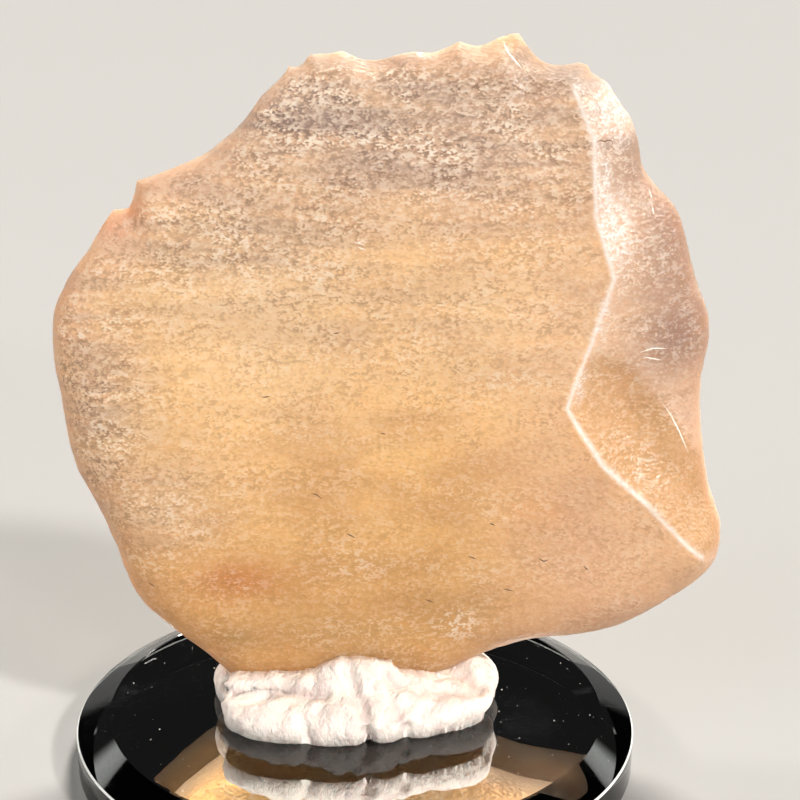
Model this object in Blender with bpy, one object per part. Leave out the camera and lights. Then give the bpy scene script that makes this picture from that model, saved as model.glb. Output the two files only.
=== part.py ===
"""Libyan desert glass flake, held upright in kneaded putty on a round bevelled mirror.

Frame: the origin is the centre of the mirror's underside and +Z is up. The stone's main face
looks along -Y, with +X to its right. Every length below is in millimetres, and MM turns it
into Blender's metres when a mesh is made.
"""

import math

import bmesh
import bpy
import numpy as np
from mathutils import Vector
from mathutils.geometry import delaunay_2d_cdt

MM = 0.001
GAP = 0.3  # clearance between neighbouring solids
SHARP_ANGLE = 35.0  # degrees between faces above which an edge is shaded sharp

# Mirror disc: a two inch craft mirror with a ground bevel.
MIRROR_RADIUS = 25.4
MIRROR_THICKNESS = 4.5
MIRROR_WALL = 3.2  # upright height of the rim, below the bevel
MIRROR_BEVEL_WIDTH = 3.1
MIRROR_ARRIS = 0.25  # small chamfer on the bottom edge
MIRROR_SEGMENTS = 96

# Stone: its outline lies in an upright plane, seen here from the front as (x, z).
STONE_PLANE_Y = 1.2
WORN_STEP = 1.35  # distance between rim vertices on the wind-worn edges
KNAPPED_STEP = 0.7  # the same on the chipped top edge
# Each run is one smooth stretch of the edge, and the edge has a corner where two runs meet.
LEFT_EDGE = (
    (-11.1, 6.3), (-13.4, 8.4), (-17.5, 11.9), (-20.2, 15.1), (-21.5, 19.0), (-23.2, 23.2),
    (-25.1, 26.9), (-26.1, 32.6), (-26.6, 39.5), (-25.4, 43.2), (-23.2, 46.1), (-21.2, 49.2),
    (-20.4, 49.7), (-19.6, 49.7),
)
LEFT_STEP = ((-19.6, 49.7), (-19.1, 50.8), (-18.8, 52.0))
LEFT_SHOULDER = (
    (-18.8, 52.0), (-17.0, 52.7), (-13.5, 54.2), (-10.4, 56.6), (-8.5, 59.0), (-6.9, 60.6),
    (-5.9, 61.8),
)
FIRST_SCALLOP = ((-5.9, 61.8), (-4.8, 61.9), (-4.0, 62.8), (-3.0, 62.8), (-1.5, 63.1))
SECOND_SCALLOP = ((-1.5, 63.1), (0.4, 62.4), (1.9, 62.5), (3.3, 62.9))
THIRD_SCALLOP = ((3.3, 62.9), (4.5, 63.1), (5.9, 63.0), (7.1, 63.5), (8.2, 64.0))
FOURTH_SCALLOP = ((8.2, 64.0), (9.4, 63.6), (10.2, 63.7), (11.2, 64.3), (12.2, 64.7), (13.0, 64.7))
DEEP_NOTCH = (
    (13.0, 64.7), (13.5, 64.1), (14.2, 63.2), (15.0, 62.5), (16.5, 62.1), (18.1, 62.4), (18.8, 62.2),
)
NOTCH_STEP = ((18.8, 62.2), (19.0, 61.7), (19.7, 61.3), (20.5, 60.8))
RIGHT_SHOULDER = ((20.5, 60.8), (21.4, 59.6), (22.5, 58.1), (23.2, 56.6), (23.7, 54.0))
RIGHT_EDGE = (
    (23.7, 54.0), (24.9, 52.3), (26.7, 50.6), (27.5, 48.9), (28.3, 46.3), (29.3, 43.3), (30.3, 41.0),
    (30.4, 38.2), (30.0, 35.5), (30.2, 32.0), (30.7, 28.5), (31.4, 25.5), (32.5, 22.4), (32.3, 19.0),
    (29.9, 16.3), (26.3, 13.6), (22.2, 11.5), (15.7, 10.3), (11.0, 8.6), (7.1, 6.4),
)
FOOT = ((7.1, 6.4), (2.0, 5.8), (-5.0, 5.8), (-11.1, 6.3))
EDGE_RUNS = (
    (LEFT_EDGE, WORN_STEP), (LEFT_STEP, KNAPPED_STEP), (LEFT_SHOULDER, 1.2),
    (FIRST_SCALLOP, KNAPPED_STEP), (SECOND_SCALLOP, KNAPPED_STEP), (THIRD_SCALLOP, KNAPPED_STEP),
    (FOURTH_SCALLOP, KNAPPED_STEP), (DEEP_NOTCH, KNAPPED_STEP), (NOTCH_STEP, KNAPPED_STEP),
    (RIGHT_SHOULDER, 1.2), (RIGHT_EDGE, WORN_STEP), (FOOT, 1.8),
)

# Ridges of the front face, between the main face and the flake scars to its right.
RIDGE_UPPER = (
    (17.6, 60.2), (18.7, 58.6), (19.3, 56.3), (19.6, 53.4), (19.7, 50.2), (20.8, 47.1), (21.4, 45.0),
    (20.9, 42.7), (19.7, 39.6), (18.3, 36.7), (17.8, 34.0),
)
RIDGE_LOWER = (
    (17.8, 34.0), (19.0, 31.7), (21.1, 28.9), (22.5, 27.4), (24.8, 25.6), (26.9, 23.9), (28.4, 22.0),
    (30.3, 20.3),
)
OVAL_ARC = (
    (19.3, 38.3), (20.9, 38.6), (22.8, 37.8), (25.2, 35.2), (26.6, 33.4), (27.9, 31.4), (29.4, 29.4),
)
SADDLE = ((17.8, 34.0), (15.6, 35.3), (12.5, 36.5), (9.5, 36.0))
FAR_RIGHT = 40.0  # closes the scars' areas beyond the stone's edge

# Face heights above the outline's plane: lower middle, and at the chipped top edge.
FRONT_HEIGHT, FRONT_HEIGHT_TOP = 4.3, 2.3
BACK_HEIGHT, BACK_HEIGHT_TOP = 4.6, 2.1
THIN_FROM_Z, THIN_TO_Z = 30.0, 64.0
ROUND_WORN, ROUND_KNAPPED = 4.6, 2.6  # width of the rounding from the edge to the face
ROUND_CHANGE_Z = (50.0, 58.0)
LEAST_HEIGHT = 0.15  # at the outline's first inner ring

# Slow swells of both faces: (height, turns of x and z a millimetre, start), as one wave each.
FACE_SWELLS = ((0.11, 0.16, 0.13, 1.3), (0.11, 0.16, -0.13, 0.5), (0.12, -0.12, 0.31, 0.0))
# How the outline wanders out of its plane, written in the same way.
PLANE_SWELLS = ((0.35, 0.10, 0.07, 0.0), (0.20, 0.23, -0.17, 0.0))

# Slopes beside the ridges: the crest rises, and the scars to its right fall away.
CREST_RISE, CREST_WIDTH = 0.45, 4.0
SCAR_FALL, SCAR_FALL_WIDTH = 2.5, 5.0
# The oval scar is a bowl, which deepens from its arc and from the ridge down to its floor.
BOWL_SLOPE_ARC, BOWL_SLOPE_RIDGE, BOWL_DEPTH = 0.32, 0.36, 1.5
# Below the saddle the main face dips, and the dip fades out to the left and downward.
DIP_DEPTH, DIP_WIDTH, DIP_OFF_RIDGE = 1.1, 2.5, 2.0
DIP_FADE_X, DIP_FADE_Z = 7.0, 9.0

# Flake scars as scoops: (x, z, radius, depth).
FRONT_SCOOPS = (
    (-20.9, 48.3, 3.3, 1.9), (-2.7, 63.9, 2.2, 2.4), (1.3, 64.3, 3.4, 3.0), (4.7, 64.3, 1.9, 2.2),
    (9.7, 65.0, 2.3, 2.6), (12.2, 65.6, 2.4, 2.6), (15.0, 64.4, 3.3, 3.0), (17.6, 63.6, 2.0, 2.4),
    (20.0, 62.3, 1.9, 2.0),
)
BACK_SCOOPS = (
    (-12.0, 43.0, 16.0, 1.3), (13.0, 24.0, 14.0, 1.2), (7.0, 57.0, 9.0, 0.9), (-14.0, 18.0, 9.0, 0.7),
    (-3.4, 64.2, 2.8, 2.4), (6.4, 65.0, 2.8, 2.4), (11.4, 65.8, 2.6, 2.2), (16.6, 63.6, 2.6, 2.2),
    (-19.8, 52.0, 2.6, 1.8), (25.6, 52.4, 3.0, 1.6),
)

# Triangulation of the stone's faces.
RUN_SAMPLES = 24  # points between two knots of an edge run, before it is stepped evenly
COARSE = 1.9  # lattice spacing on the plain faces
RINGS = (0.4, 1.25)  # inner rings that follow the outline and round its edge
RING_DEPTH_KEPT = 0.9  # a ring's point is dropped where another stretch of rim is nearer than this share
RIDGE_STEP = 0.95
RIDGE_SIDE = 0.85  # distance of the lines of points beside a ridge
FINE_NEAR_RIDGE = 1.8
FINE_NEAR_CHIP = 1.2  # times the left chip's radius
FINE_TOP_X, FINE_TOP_Z = -8.0, 58.5
MOST_SPLITS = 6  # rounds that split an edge running from rim to rim
# Least distances: a ridge from the rim, ridges from each other, side lines from each other and
# from the ridges, rings from what is there already, and the lattice from all of it and the rings.
RIDGE_OFF_RIM, RIDGE_OFF_RIDGE = 0.35, 0.4
SIDE_OFF_SIDE, SIDE_OFF_RIDGE = 0.5, 0.68
RING_OFF_REST = 0.45
LATTICE_OFF_REST, LATTICE_OFF_RINGS = 0.59, 0.38

# Putty: lobes as (centre, radii), which melt into each other over PUTTY_BLEND.
PUTTY_BLEND = 0.36
PUTTY_CENTRE = (0.0, -0.5, 6.0)
PUTTY_GRID = 20  # quads along each edge of the cube that becomes the lump
PUTTY_HALVINGS = 40  # steps that close in on the lump's surface along a ray
PUTTY_LOBES = {
    "body": ((0.0, 0.6, 5.5), (11.6, 6.4, 1.9)),
    "front": ((-1.6, -4.7, 5.6), (9.1, 4.2, 2.2)),
    "front slope": ((0.2, -3.4, 7.2), (6.8, 3.2, 1.5)),
    "front peak": ((0.2, -3.1, 8.9), (3.5, 1.8, 1.5)),
    "front right lip": ((8.1, -2.7, 6.1), (3.8, 3.0, 1.3)),
    "front left upper lip": ((-8.2, -2.9, 7.1), (3.8, 1.9, 0.85)),
    "front left lower lip": ((-7.1, -4.2, 5.5), (3.5, 3.1, 1.1)),
    "rear right": ((10.3, 1.7, 6.3), (2.6, 3.0, 2.0)),
    "rear left": ((-10.9, 1.8, 5.9), (2.1, 2.9, 1.7)),
    "rear": ((0.8, 4.6, 6.1), (8.8, 3.4, 2.3)),
    "rear slope": ((2.0, 4.8, 7.6), (6.0, 2.4, 1.5)),
}
# Folds pressed into the putty: (start, end, radius, depth).
PUTTY_FOLDS = (
    ((-13.2, -1.6, 6.4), (-5.0, -6.2, 7.1), 0.6, 0.8),
    ((-0.6, -4.4, 10.4), (1.6, -8.6, 4.9), 0.55, 0.4),
    ((8.0, -3.6, 7.8), (4.0, -8.0, 5.0), 0.6, 0.4),
    ((-1.4, -5.6, 8.6), (-4.6, -8.8, 5.6), 0.6, 0.3),
    ((4.6, -4.6, 8.6), (2.6, -7.6, 6.4), 0.6, 0.25),
    ((6.0, 7.6, 5.2), (3.4, 6.2, 8.8), 0.7, 0.4),
    ((-5.6, 7.8, 5.0), (-3.0, 6.4, 8.2), 0.7, 0.4),
)
PUTTY_FLOOR = MIRROR_THICKNESS + GAP
FARTHEST = 18.0  # beyond the lump's surface in every direction
SLOT_CLEARANCE = 0.36  # the facets leave at least GAP of it


def smooth_run(points, step):
    """Points about step apart on a smooth curve through points, with the last one left out."""
    knots = np.array(points)
    padded = np.vstack((2 * knots[0] - knots[1], knots, 2 * knots[-1] - knots[-2]))
    fine = []
    for a, b, c, d in zip(padded, padded[1:], padded[2:], padded[3:]):
        for t in np.linspace(0.0, 1.0, RUN_SAMPLES, endpoint=False):
            fine.append(0.5 * (2 * b + (c - a) * t + (2 * a - 5 * b + 4 * c - d) * t**2
                               + (3 * b - a - 3 * c + d) * t**3))
    fine = np.vstack((fine, knots[-1]))
    travel = np.r_[0.0, np.cumsum(np.linalg.norm(np.diff(fine, axis=0), axis=1))]
    count = max(1, round(travel[-1] / step))
    wanted = np.linspace(0.0, travel[-1], count + 1)[:-1]
    return np.column_stack([np.interp(wanted, travel, fine[:, k]) for k in (0, 1)])


def open_line(points, step):
    """The same with its last point."""
    return np.vstack((smooth_run(points, step), points[-1]))


def line_distance(points, line, closed=False):
    """Each point's distance to a polyline."""
    start = line if closed else line[:-1]
    along = (np.roll(line, -1, axis=0) if closed else line[1:]) - start
    offset = points[:, None] - start[None]
    share = np.clip((offset * along).sum(2) / (along**2).sum(1), 0.0, 1.0)
    return np.linalg.norm(offset - share[..., None] * along, axis=2).min(1)


def inside(points, polygon):
    """Which points lie inside a closed polygon, by the even-odd rule."""
    found = np.zeros(len(points), bool)
    for (ax, az), (bx, bz) in zip(polygon, np.roll(polygon, -1, axis=0)):
        crosses = (az > points[:, 1]) != (bz > points[:, 1])
        with np.errstate(divide="ignore", invalid="ignore"):
            reach = (bx - ax) * (points[:, 1] - az) / (bz - az) + ax
        found ^= crosses & (points[:, 0] < reach)
    return found


def smooth_step(value, low, high):
    """Rises smoothly from 0 at low to 1 at high."""
    share = np.clip((value - low) / (high - low), 0.0, 1.0)
    return share * share * (3 - 2 * share)


OUTLINE = np.vstack([smooth_run(points, step) for points, step in EDGE_RUNS])
RIDGE_A = open_line(RIDGE_UPPER, RIDGE_STEP)
RIDGE_B = open_line(RIDGE_LOWER, RIDGE_STEP)
ARC = open_line(OVAL_ARC, RIDGE_STEP)
SADDLE_LINE = open_line(SADDLE, RIDGE_STEP)
RIDGE = np.vstack((RIDGE_A, RIDGE_B[1:]))
RIGHT_OF_RIDGE = np.vstack((RIDGE, (FAR_RIGHT, 14.0), (FAR_RIGHT, 70.0), (16.0, 70.0)))
OVAL_LEFT = np.vstack((RIDGE_A[RIDGE_A[:, 1] < OVAL_ARC[0][1]], RIDGE_B[1:]))
OVAL = np.vstack((OVAL_LEFT, (FAR_RIGHT, 14.0), (FAR_RIGHT, ARC[-1, 1]), ARC[::-1]))


def waves(points, swells):
    """Sum of plane waves over the plan, each as (height, turn along x, turn along z, start)."""
    x, z = points.T
    return sum(height * np.sin(along_x * x + along_z * z + start) for height, along_x, along_z, start in swells)


def face_profile(points, height, height_top, scoops):
    """A face's height: full inside, rounded down to the edge, thinner at the top and scooped."""
    x, z = points.T
    depth_in = line_distance(points, OUTLINE, closed=True)
    knapped = smooth_step(z, *ROUND_CHANGE_Z)
    width = ROUND_WORN + (ROUND_KNAPPED - ROUND_WORN) * knapped
    rounding = np.sqrt(1 - (1 - np.minimum(depth_in / width, 1.0)) ** 2)
    thin = smooth_step(z, THIN_FROM_Z, THIN_TO_Z)
    level = height + (height_top - height) * thin + waves(points, FACE_SWELLS)
    for cx, cz, radius, depth in scoops:
        away = np.hypot(x - cx, z - cz) / radius
        level = level - depth * np.maximum(1 - away**2, 0.0)
    return level, rounding, depth_in


def front_height(points):
    """Height of the front face above the outline's plane."""
    level, rounding, depth_in = face_profile(points, FRONT_HEIGHT, FRONT_HEIGHT_TOP, FRONT_SCOOPS)
    from_ridge = line_distance(points, RIDGE)
    right = inside(points, RIGHT_OF_RIDGE)
    crest = CREST_RISE * np.exp(-from_ridge / CREST_WIDTH)
    fall = SCAR_FALL * (1 - np.exp(-from_ridge / SCAR_FALL_WIDTH))
    level = level + crest - np.where(right, fall, 0.0)
    from_sides = BOWL_SLOPE_ARC * line_distance(points, ARC), BOWL_SLOPE_RIDGE * line_distance(points, OVAL_LEFT)
    bowl = BOWL_DEPTH * np.tanh(np.minimum(*from_sides) / BOWL_DEPTH)
    level = level - np.where(inside(points, OVAL), bowl, 0.0)
    saddle_z = np.interp(points[:, 0], SADDLE_LINE[::-1, 0], SADDLE_LINE[::-1, 1])
    below = np.maximum(saddle_z - points[:, 1], 0.0)
    fade = np.exp(-(((points[:, 0] - SADDLE[0][0]) / DIP_FADE_X) ** 2)) * np.exp(-below / DIP_FADE_Z)
    dip = DIP_DEPTH * (1 - np.exp(-below / DIP_WIDTH)) * (1 - np.exp(-from_ridge / DIP_OFF_RIDGE)) * fade
    level = level - np.where(right, 0.0, dip)
    return np.maximum(level * rounding, np.minimum(LEAST_HEIGHT, depth_in))


def back_height(points):
    """Height of the back face behind the outline's plane."""
    level, rounding, depth_in = face_profile(points, BACK_HEIGHT, BACK_HEIGHT_TOP, BACK_SCOOPS)
    return np.maximum(level * rounding, np.minimum(LEAST_HEIGHT, depth_in))


def plane_y(points):
    """The outline wanders a little out of its plane, as a struck flake's edge does."""
    return STONE_PLANE_Y + waves(points, PLANE_SWELLS)


def away_from(points, others, least):
    """Those points that keep at least a distance from all others."""
    return points[np.linalg.norm(points[:, None] - others[None], axis=2).min(1) > least]


def feature_lines():
    """The ridges' points inside the outline and the edges that join them, numbered from 0."""
    points, edges = [], []
    for line in (RIDGE_A, RIDGE_B, ARC, SADDLE_LINE):
        line = line[line_distance(line, OUTLINE, closed=True) > RIDGE_OFF_RIM]
        if points:
            taken = np.vstack(points)
            line = away_from(line, taken, RIDGE_OFF_RIDGE)
        first = sum(len(part) for part in points)
        edges += [(k, k + 1) for k in range(first, first + len(line) - 1)]
        points.append(line)
    return np.vstack(points), edges


def beside_ridges():
    """Points in lines on both sides of the ridges, so that the slopes meet them evenly."""
    strips = []
    for line in (RIDGE_A, RIDGE_B, ARC):
        along = np.gradient(line, axis=0)
        across = np.column_stack((along[:, 1], -along[:, 0])) / np.linalg.norm(along, axis=1)[:, None]
        strips += [line + across * RIDGE_SIDE, line - across * RIDGE_SIDE]
    strips = np.vstack(strips)
    strips = strips[inside(strips, OUTLINE)]
    strips = strips[line_distance(strips, OUTLINE, closed=True) > RINGS[-1]]
    kept = []
    for point in strips:
        if all(math.dist(point, other) > SIDE_OFF_SIDE for other in kept):
            kept.append(point)
    return np.array(kept)


def edge_rings():
    """Rings of points inside the outline that follow it and carry the rounding of its edge."""
    along = np.roll(OUTLINE, -1, axis=0) - np.roll(OUTLINE, 1, axis=0)
    inward = np.column_stack((along[:, 1], -along[:, 0]))
    inward /= np.linalg.norm(inward, axis=1)[:, None]
    rings = []
    for depth in RINGS:
        ring = OUTLINE + inward * depth
        deep_enough = line_distance(ring, OUTLINE, closed=True) > RING_DEPTH_KEPT * depth
        rings.append(ring[deep_enough & inside(ring, OUTLINE)])
    return np.vstack(rings)


def face_lattice():
    """Triangular lattice over the plan, twice as fine near the ridges and the chipped edge."""
    low, high = OUTLINE.min(0), OUTLINE.max(0)
    half = COARSE / 2
    row_height = half * math.sqrt(3.0)
    lattice, coarse = [], []
    for j in range(int((high[1] - low[1]) / row_height) + 1):
        for i in range(int((high[0] - low[0]) / half) + 1):
            lattice.append((low[0] + (i + 0.5 * (j % 2)) * half, low[1] + j * row_height))
            coarse.append(j % 2 == 0 and (i - j // 2) % 2 == 0)
    lattice = np.array(lattice)
    fine = line_distance(lattice, np.vstack((RIDGE, ARC[::-1]))) < FINE_NEAR_RIDGE
    fine |= (lattice[:, 1] > FINE_TOP_Z) & (lattice[:, 0] > FINE_TOP_X)
    chip_x, chip_z, chip_radius, _ = FRONT_SCOOPS[0]
    fine |= np.hypot(lattice[:, 0] - chip_x, lattice[:, 1] - chip_z) < FINE_NEAR_CHIP * chip_radius
    lattice = lattice[(np.array(coarse) | fine) & inside(lattice, OUTLINE)]
    return lattice[line_distance(lattice, OUTLINE, closed=True) > RINGS[-1] + LATTICE_OFF_RINGS]


def plan_points():
    """All points of the stone's plan, the outline's first, and the edges of its ridges."""
    features, edges = feature_lines()
    beside = away_from(beside_ridges(), features, SIDE_OFF_RIDGE)
    rings = away_from(edge_rings(), np.vstack((features, beside)), RING_OFF_REST)
    fixed = np.vstack((OUTLINE, features, beside, rings))
    lattice = away_from(face_lattice(), fixed, LATTICE_OFF_REST)
    first = len(OUTLINE)
    return np.vstack((fixed, lattice)), [(a + first, b + first) for a, b in edges]


def triangulate(points, edges):
    """Triangles of the plan inside the outline, whose points come first."""
    count = len(OUTLINE)
    rim = [(i, (i + 1) % count) for i in range(count)]
    places, _, faces, *_ = delaunay_2d_cdt([Vector(p) for p in points], rim + edges, [], 0, 1e-5, False)
    places = np.array([tuple(v) for v in places])
    middles = np.array([places[list(face)].mean(0) for face in faces])
    return places, [tuple(face) for face, within in zip(faces, inside(middles, OUTLINE)) if within]


def stone_plan():
    """The stone's plan: its points and triangles, where only the outline's own edges join two rim points."""
    points, edges = plan_points()
    count = len(OUTLINE)
    for _ in range(MOST_SPLITS):
        points, triangles = triangulate(points, edges)
        bridges = set()
        for triangle in triangles:
            for a, b in zip(triangle, triangle[1:] + triangle[:1]):
                if max(a, b) < count and (a - b) % count not in (1, count - 1):
                    bridges.add((min(a, b), max(a, b)))
        if not bridges:
            break
        points = np.vstack([points] + [(points[a] + points[b]) / 2 for a, b in sorted(bridges)])
    return points, triangles


def new_object(name, bm, material):
    """A smooth-shaded object named name, made from a bmesh that is in millimetres."""
    bmesh.ops.scale(bm, vec=(MM, MM, MM), verts=bm.verts)
    mesh = bpy.data.meshes.new(name)
    bm.to_mesh(mesh)
    bm.free()
    mesh.shade_smooth()
    mesh.set_sharp_from_angle(angle=math.radians(SHARP_ANGLE))
    mesh.materials.append(material)
    made = bpy.data.objects.new(name, mesh)
    bpy.context.scene.collection.objects.link(made)
    return made


def plain_material(name, colour, roughness, transmission=0.0):
    """A Principled material with one colour and one roughness."""
    material = bpy.data.materials.new(name)
    material.use_nodes = True
    shader = material.node_tree.nodes["Principled BSDF"]
    shader.inputs["Base Color"].default_value = (*colour, 1.0)
    shader.inputs["Roughness"].default_value = roughness
    shader.inputs["Metallic"].default_value = 0.0
    shader.inputs["Transmission Weight"].default_value = transmission
    return material


def stone_bmesh():
    """The flake: two height faces over the same plan, which share the outline."""
    points, triangles = stone_plan()
    rim_count = len(OUTLINE)
    middle = plane_y(points)
    front = middle - front_height(points)
    back = middle + back_height(points)
    bm = bmesh.new()
    rim = [bm.verts.new((x, y, z)) for (x, z), y in zip(points[:rim_count], middle)]
    front_verts = rim + [bm.verts.new((x, y, z)) for (x, z), y in zip(points[rim_count:], front[rim_count:])]
    back_verts = rim + [bm.verts.new((x, y, z)) for (x, z), y in zip(points[rim_count:], back[rim_count:])]
    for triangle in triangles:
        bm.faces.new([front_verts[k] for k in triangle])
        bm.faces.new([back_verts[k] for k in reversed(triangle)])
    bmesh.ops.recalc_face_normals(bm, faces=bm.faces)
    return bm


def lobe_distance(point):
    """Signed distance, near enough, from the putty's surface: its lobes melted together, less its folds."""
    total = 0.0
    for centre, radii in PUTTY_LOBES.values():
        scaled = np.linalg.norm((point - centre) / np.array(radii), axis=-1)
        total = total + np.exp(-(scaled - 1) * min(radii) / PUTTY_BLEND)
    distance = -PUTTY_BLEND * np.log(total)
    for start, end, radius, depth in PUTTY_FOLDS:
        start, along = np.array(start), np.array(end) - np.array(start)
        share = np.clip(((point - start) @ along) / (along @ along), 0.0, 1.0)
        off = np.linalg.norm(point - start - share[..., None] * along, axis=-1)
        distance = distance + depth * np.exp(-((off / radius) ** 2))
    return distance


def putty_bmesh():
    """The lump before its slot: a subdivided cube whose points are cast onto the lobes' surface."""
    bm = bmesh.new()
    bmesh.ops.create_cube(bm, size=2.0)
    bmesh.ops.subdivide_edges(bm, edges=bm.edges[:], cuts=PUTTY_GRID - 1, use_grid_fill=True)
    bm.verts.ensure_lookup_table()
    centre = np.array(PUTTY_CENTRE)
    spread = np.array(PUTTY_LOBES["body"][1])
    cube = np.array([v.co for v in bm.verts])
    even = np.tan(cube * math.pi / 4)  # evens out the quads of a cube cast on a sphere
    rays = even * spread
    rays /= np.linalg.norm(rays, axis=1)[:, None]
    low, high = np.zeros(len(rays)), np.full(len(rays), FARTHEST)
    for _ in range(PUTTY_HALVINGS):
        middle = (low + high) / 2
        outside = lobe_distance(centre + rays * middle[:, None]) > 0
        low, high = np.where(outside, low, middle), np.where(outside, middle, high)
    down = np.minimum(rays[:, 2], -1e-6)
    to_floor = np.where(rays[:, 2] < 0, (PUTTY_FLOOR - centre[2]) / down, np.inf)
    reach = np.minimum(low, to_floor)
    for vert, place in zip(bm.verts, centre + rays * reach[:, None]):
        vert.co = place
    bmesh.ops.triangulate(bm, faces=bm.faces[:])
    bmesh.ops.recalc_face_normals(bm, faces=bm.faces)
    return bm


def cut_slot(putty):
    """Cuts the stone's seat into the putty, with its clearance all round."""
    bm = stone_bmesh()
    bm.normal_update()
    for vert, normal in [(v, v.normal.copy()) for v in bm.verts]:
        vert.co += normal * SLOT_CLEARANCE
    cutter = new_object("slot_cutter", bm, putty.data.materials[0])
    cutter.hide_render = True
    cutter.display_type = "WIRE"
    slot = putty.modifiers.new("Slot", "BOOLEAN")
    slot.operation = "DIFFERENCE"
    slot.solver = "EXACT"
    slot.object = cutter


def mirror_bmesh():
    """The bevelled disc: a turned profile, closed by its flat top and underside."""
    inner = MIRROR_RADIUS - MIRROR_BEVEL_WIDTH
    profile = (
        (MIRROR_RADIUS - MIRROR_ARRIS, 0.0), (MIRROR_RADIUS, MIRROR_ARRIS),
        (MIRROR_RADIUS, MIRROR_WALL), (inner, MIRROR_THICKNESS),
    )
    bm = bmesh.new()
    rings = []
    for radius, height in profile:
        turns = [2 * math.pi * k / MIRROR_SEGMENTS for k in range(MIRROR_SEGMENTS)]
        rings.append([bm.verts.new((radius * math.cos(t), radius * math.sin(t), height)) for t in turns])
    for lower, upper in zip(rings, rings[1:]):
        for k in range(MIRROR_SEGMENTS):
            n = (k + 1) % MIRROR_SEGMENTS
            bm.faces.new((lower[k], lower[n], upper[n], upper[k]))
    bm.faces.new(rings[0][::-1])
    bm.faces.new(rings[-1])
    bmesh.ops.recalc_face_normals(bm, faces=bm.faces)
    return bm


def main():
    """Clears the scene and makes the stone, its putty and its mirror."""
    for old in list(bpy.data.objects):
        bpy.data.objects.remove(old)
    glass = plain_material("desert_glass", (0.78, 0.60, 0.40), 0.45, 0.6)
    putty_white = plain_material("putty_white", (0.86, 0.80, 0.78), 0.75)
    mirror_glass = plain_material("mirror_glass", (0.80, 0.86, 0.84), 0.03)
    new_object("desert_glass", stone_bmesh(), glass)
    cut_slot(new_object("mounting_putty", putty_bmesh(), putty_white))
    new_object("mirror_disc", mirror_bmesh(), mirror_glass)


main()
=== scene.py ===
"""Looks of a desert glass flake that stands in white putty on a round bevelled mirror.

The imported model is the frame: the stone, the putty and the mirror are refined from its nodes.
Lengths in the classes are in millimetres where no comment says otherwise, and MM turns them into
Blender's metres. A window is a pair of values: a mask is 0 at the first and 1 at the second.
"""

from __future__ import annotations

import logging
import math
from dataclasses import dataclass
from enum import Enum

import bmesh
import bpy
import numpy as np
from mathutils import Matrix, Vector, noise
from mathutils.bvhtree import BVHTree


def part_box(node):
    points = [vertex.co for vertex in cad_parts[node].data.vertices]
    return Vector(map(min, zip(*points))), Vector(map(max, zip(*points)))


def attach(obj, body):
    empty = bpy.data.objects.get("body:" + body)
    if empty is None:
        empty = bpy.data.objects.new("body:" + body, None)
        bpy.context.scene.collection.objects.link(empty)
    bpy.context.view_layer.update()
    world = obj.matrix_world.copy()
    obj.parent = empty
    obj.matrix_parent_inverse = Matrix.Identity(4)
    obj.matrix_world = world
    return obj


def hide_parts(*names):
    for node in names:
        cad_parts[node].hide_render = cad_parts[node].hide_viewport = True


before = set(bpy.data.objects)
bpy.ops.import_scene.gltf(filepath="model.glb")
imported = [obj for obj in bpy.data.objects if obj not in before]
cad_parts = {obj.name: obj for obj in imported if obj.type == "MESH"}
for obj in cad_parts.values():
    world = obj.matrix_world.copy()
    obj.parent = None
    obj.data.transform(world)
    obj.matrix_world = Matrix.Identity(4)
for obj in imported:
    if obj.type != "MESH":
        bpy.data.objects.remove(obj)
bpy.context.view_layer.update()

MM = 0.001
MERGE_DISTANCE = 1e-7  # metres between vertices that count as one
LAYER_SHIFT = 31.7  # keeps the layers of noise from lining up at the origin
MIX_FIRST, MIX_SECOND, MIX_RESULT = 6, 7, 2  # a Mix node's colour sockets
BODY = "root"
STONE_NODE = "desert_glass"
PUTTY_NODE = "mounting_putty"
MIRROR_NODE = "mirror_disc"
LOG = logging.getLogger("desert_glass")

Colour = tuple[float, float, float]
Triple = tuple[float, float, float]
Line = tuple[tuple[float, float], ...]
Window = tuple[float, float]


class MarkKind(Enum):
    """Kinds of soft mark on the stone's front, by the vertex value that each is kept in."""

    SALMON = "salmon"
    EMBER = "ember"
    UMBER = "umber"
    SMOKE = "smoke"
    RUST = "rust"
    OLIVE = "olive"
    # painted shade on the facet right of the upper ridge
    FACET_SHADE = "facet_shade"
    CREAM = "cream"
    # frosted patches, partly painted sheen near the ridges
    FROSTED_AND_SHEEN = "frosted_and_sheen"
    ROUGH = "rough"


# ---------------------------------------------------------------- meshes


def cad_mesh(node: str) -> bpy.types.Mesh:
    """Copies a CAD node's mesh, with its doubled vertices merged.

    Args:
        node: the CAD node's name.

    Returns:
        A new mesh in metres, in the row frame.
    """
    bm = bmesh.new()
    bm.from_mesh(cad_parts[node].data)
    bmesh.ops.remove_doubles(bm, verts=bm.verts, dist=MERGE_DISTANCE)
    mesh = bpy.data.meshes.new(f"{node}_copy")
    bm.to_mesh(mesh)
    bm.free()
    mesh.materials.clear()
    return mesh


def link(name: str, mesh: bpy.types.Mesh) -> bpy.types.Object:
    """Puts a mesh in the scene.

    Args:
        name: the piece's name.
        mesh: its mesh.

    Returns:
        The new object, at the origin.
    """
    piece = bpy.data.objects.new(name, mesh)
    bpy.context.scene.collection.objects.link(piece)
    return piece


def apply_modifiers(piece: bpy.types.Object) -> None:
    """Replaces a piece's mesh by what its modifiers make of it, and drops them.

    Args:
        piece: the object to change.
    """
    graph = bpy.context.evaluated_depsgraph_get()
    made = bpy.data.meshes.new_from_object(piece.evaluated_get(graph))
    piece.modifiers.clear()
    piece.data = made


def points_of(mesh: bpy.types.Mesh) -> np.ndarray:
    """Reads a mesh's vertices.

    Args:
        mesh: the mesh to read.

    Returns:
        One row of x, y and z a vertex, in metres.
    """
    flat = np.empty(len(mesh.vertices) * 3, np.float32)
    mesh.vertices.foreach_get("co", flat)
    return flat.reshape(-1, 3).astype(float)


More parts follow.
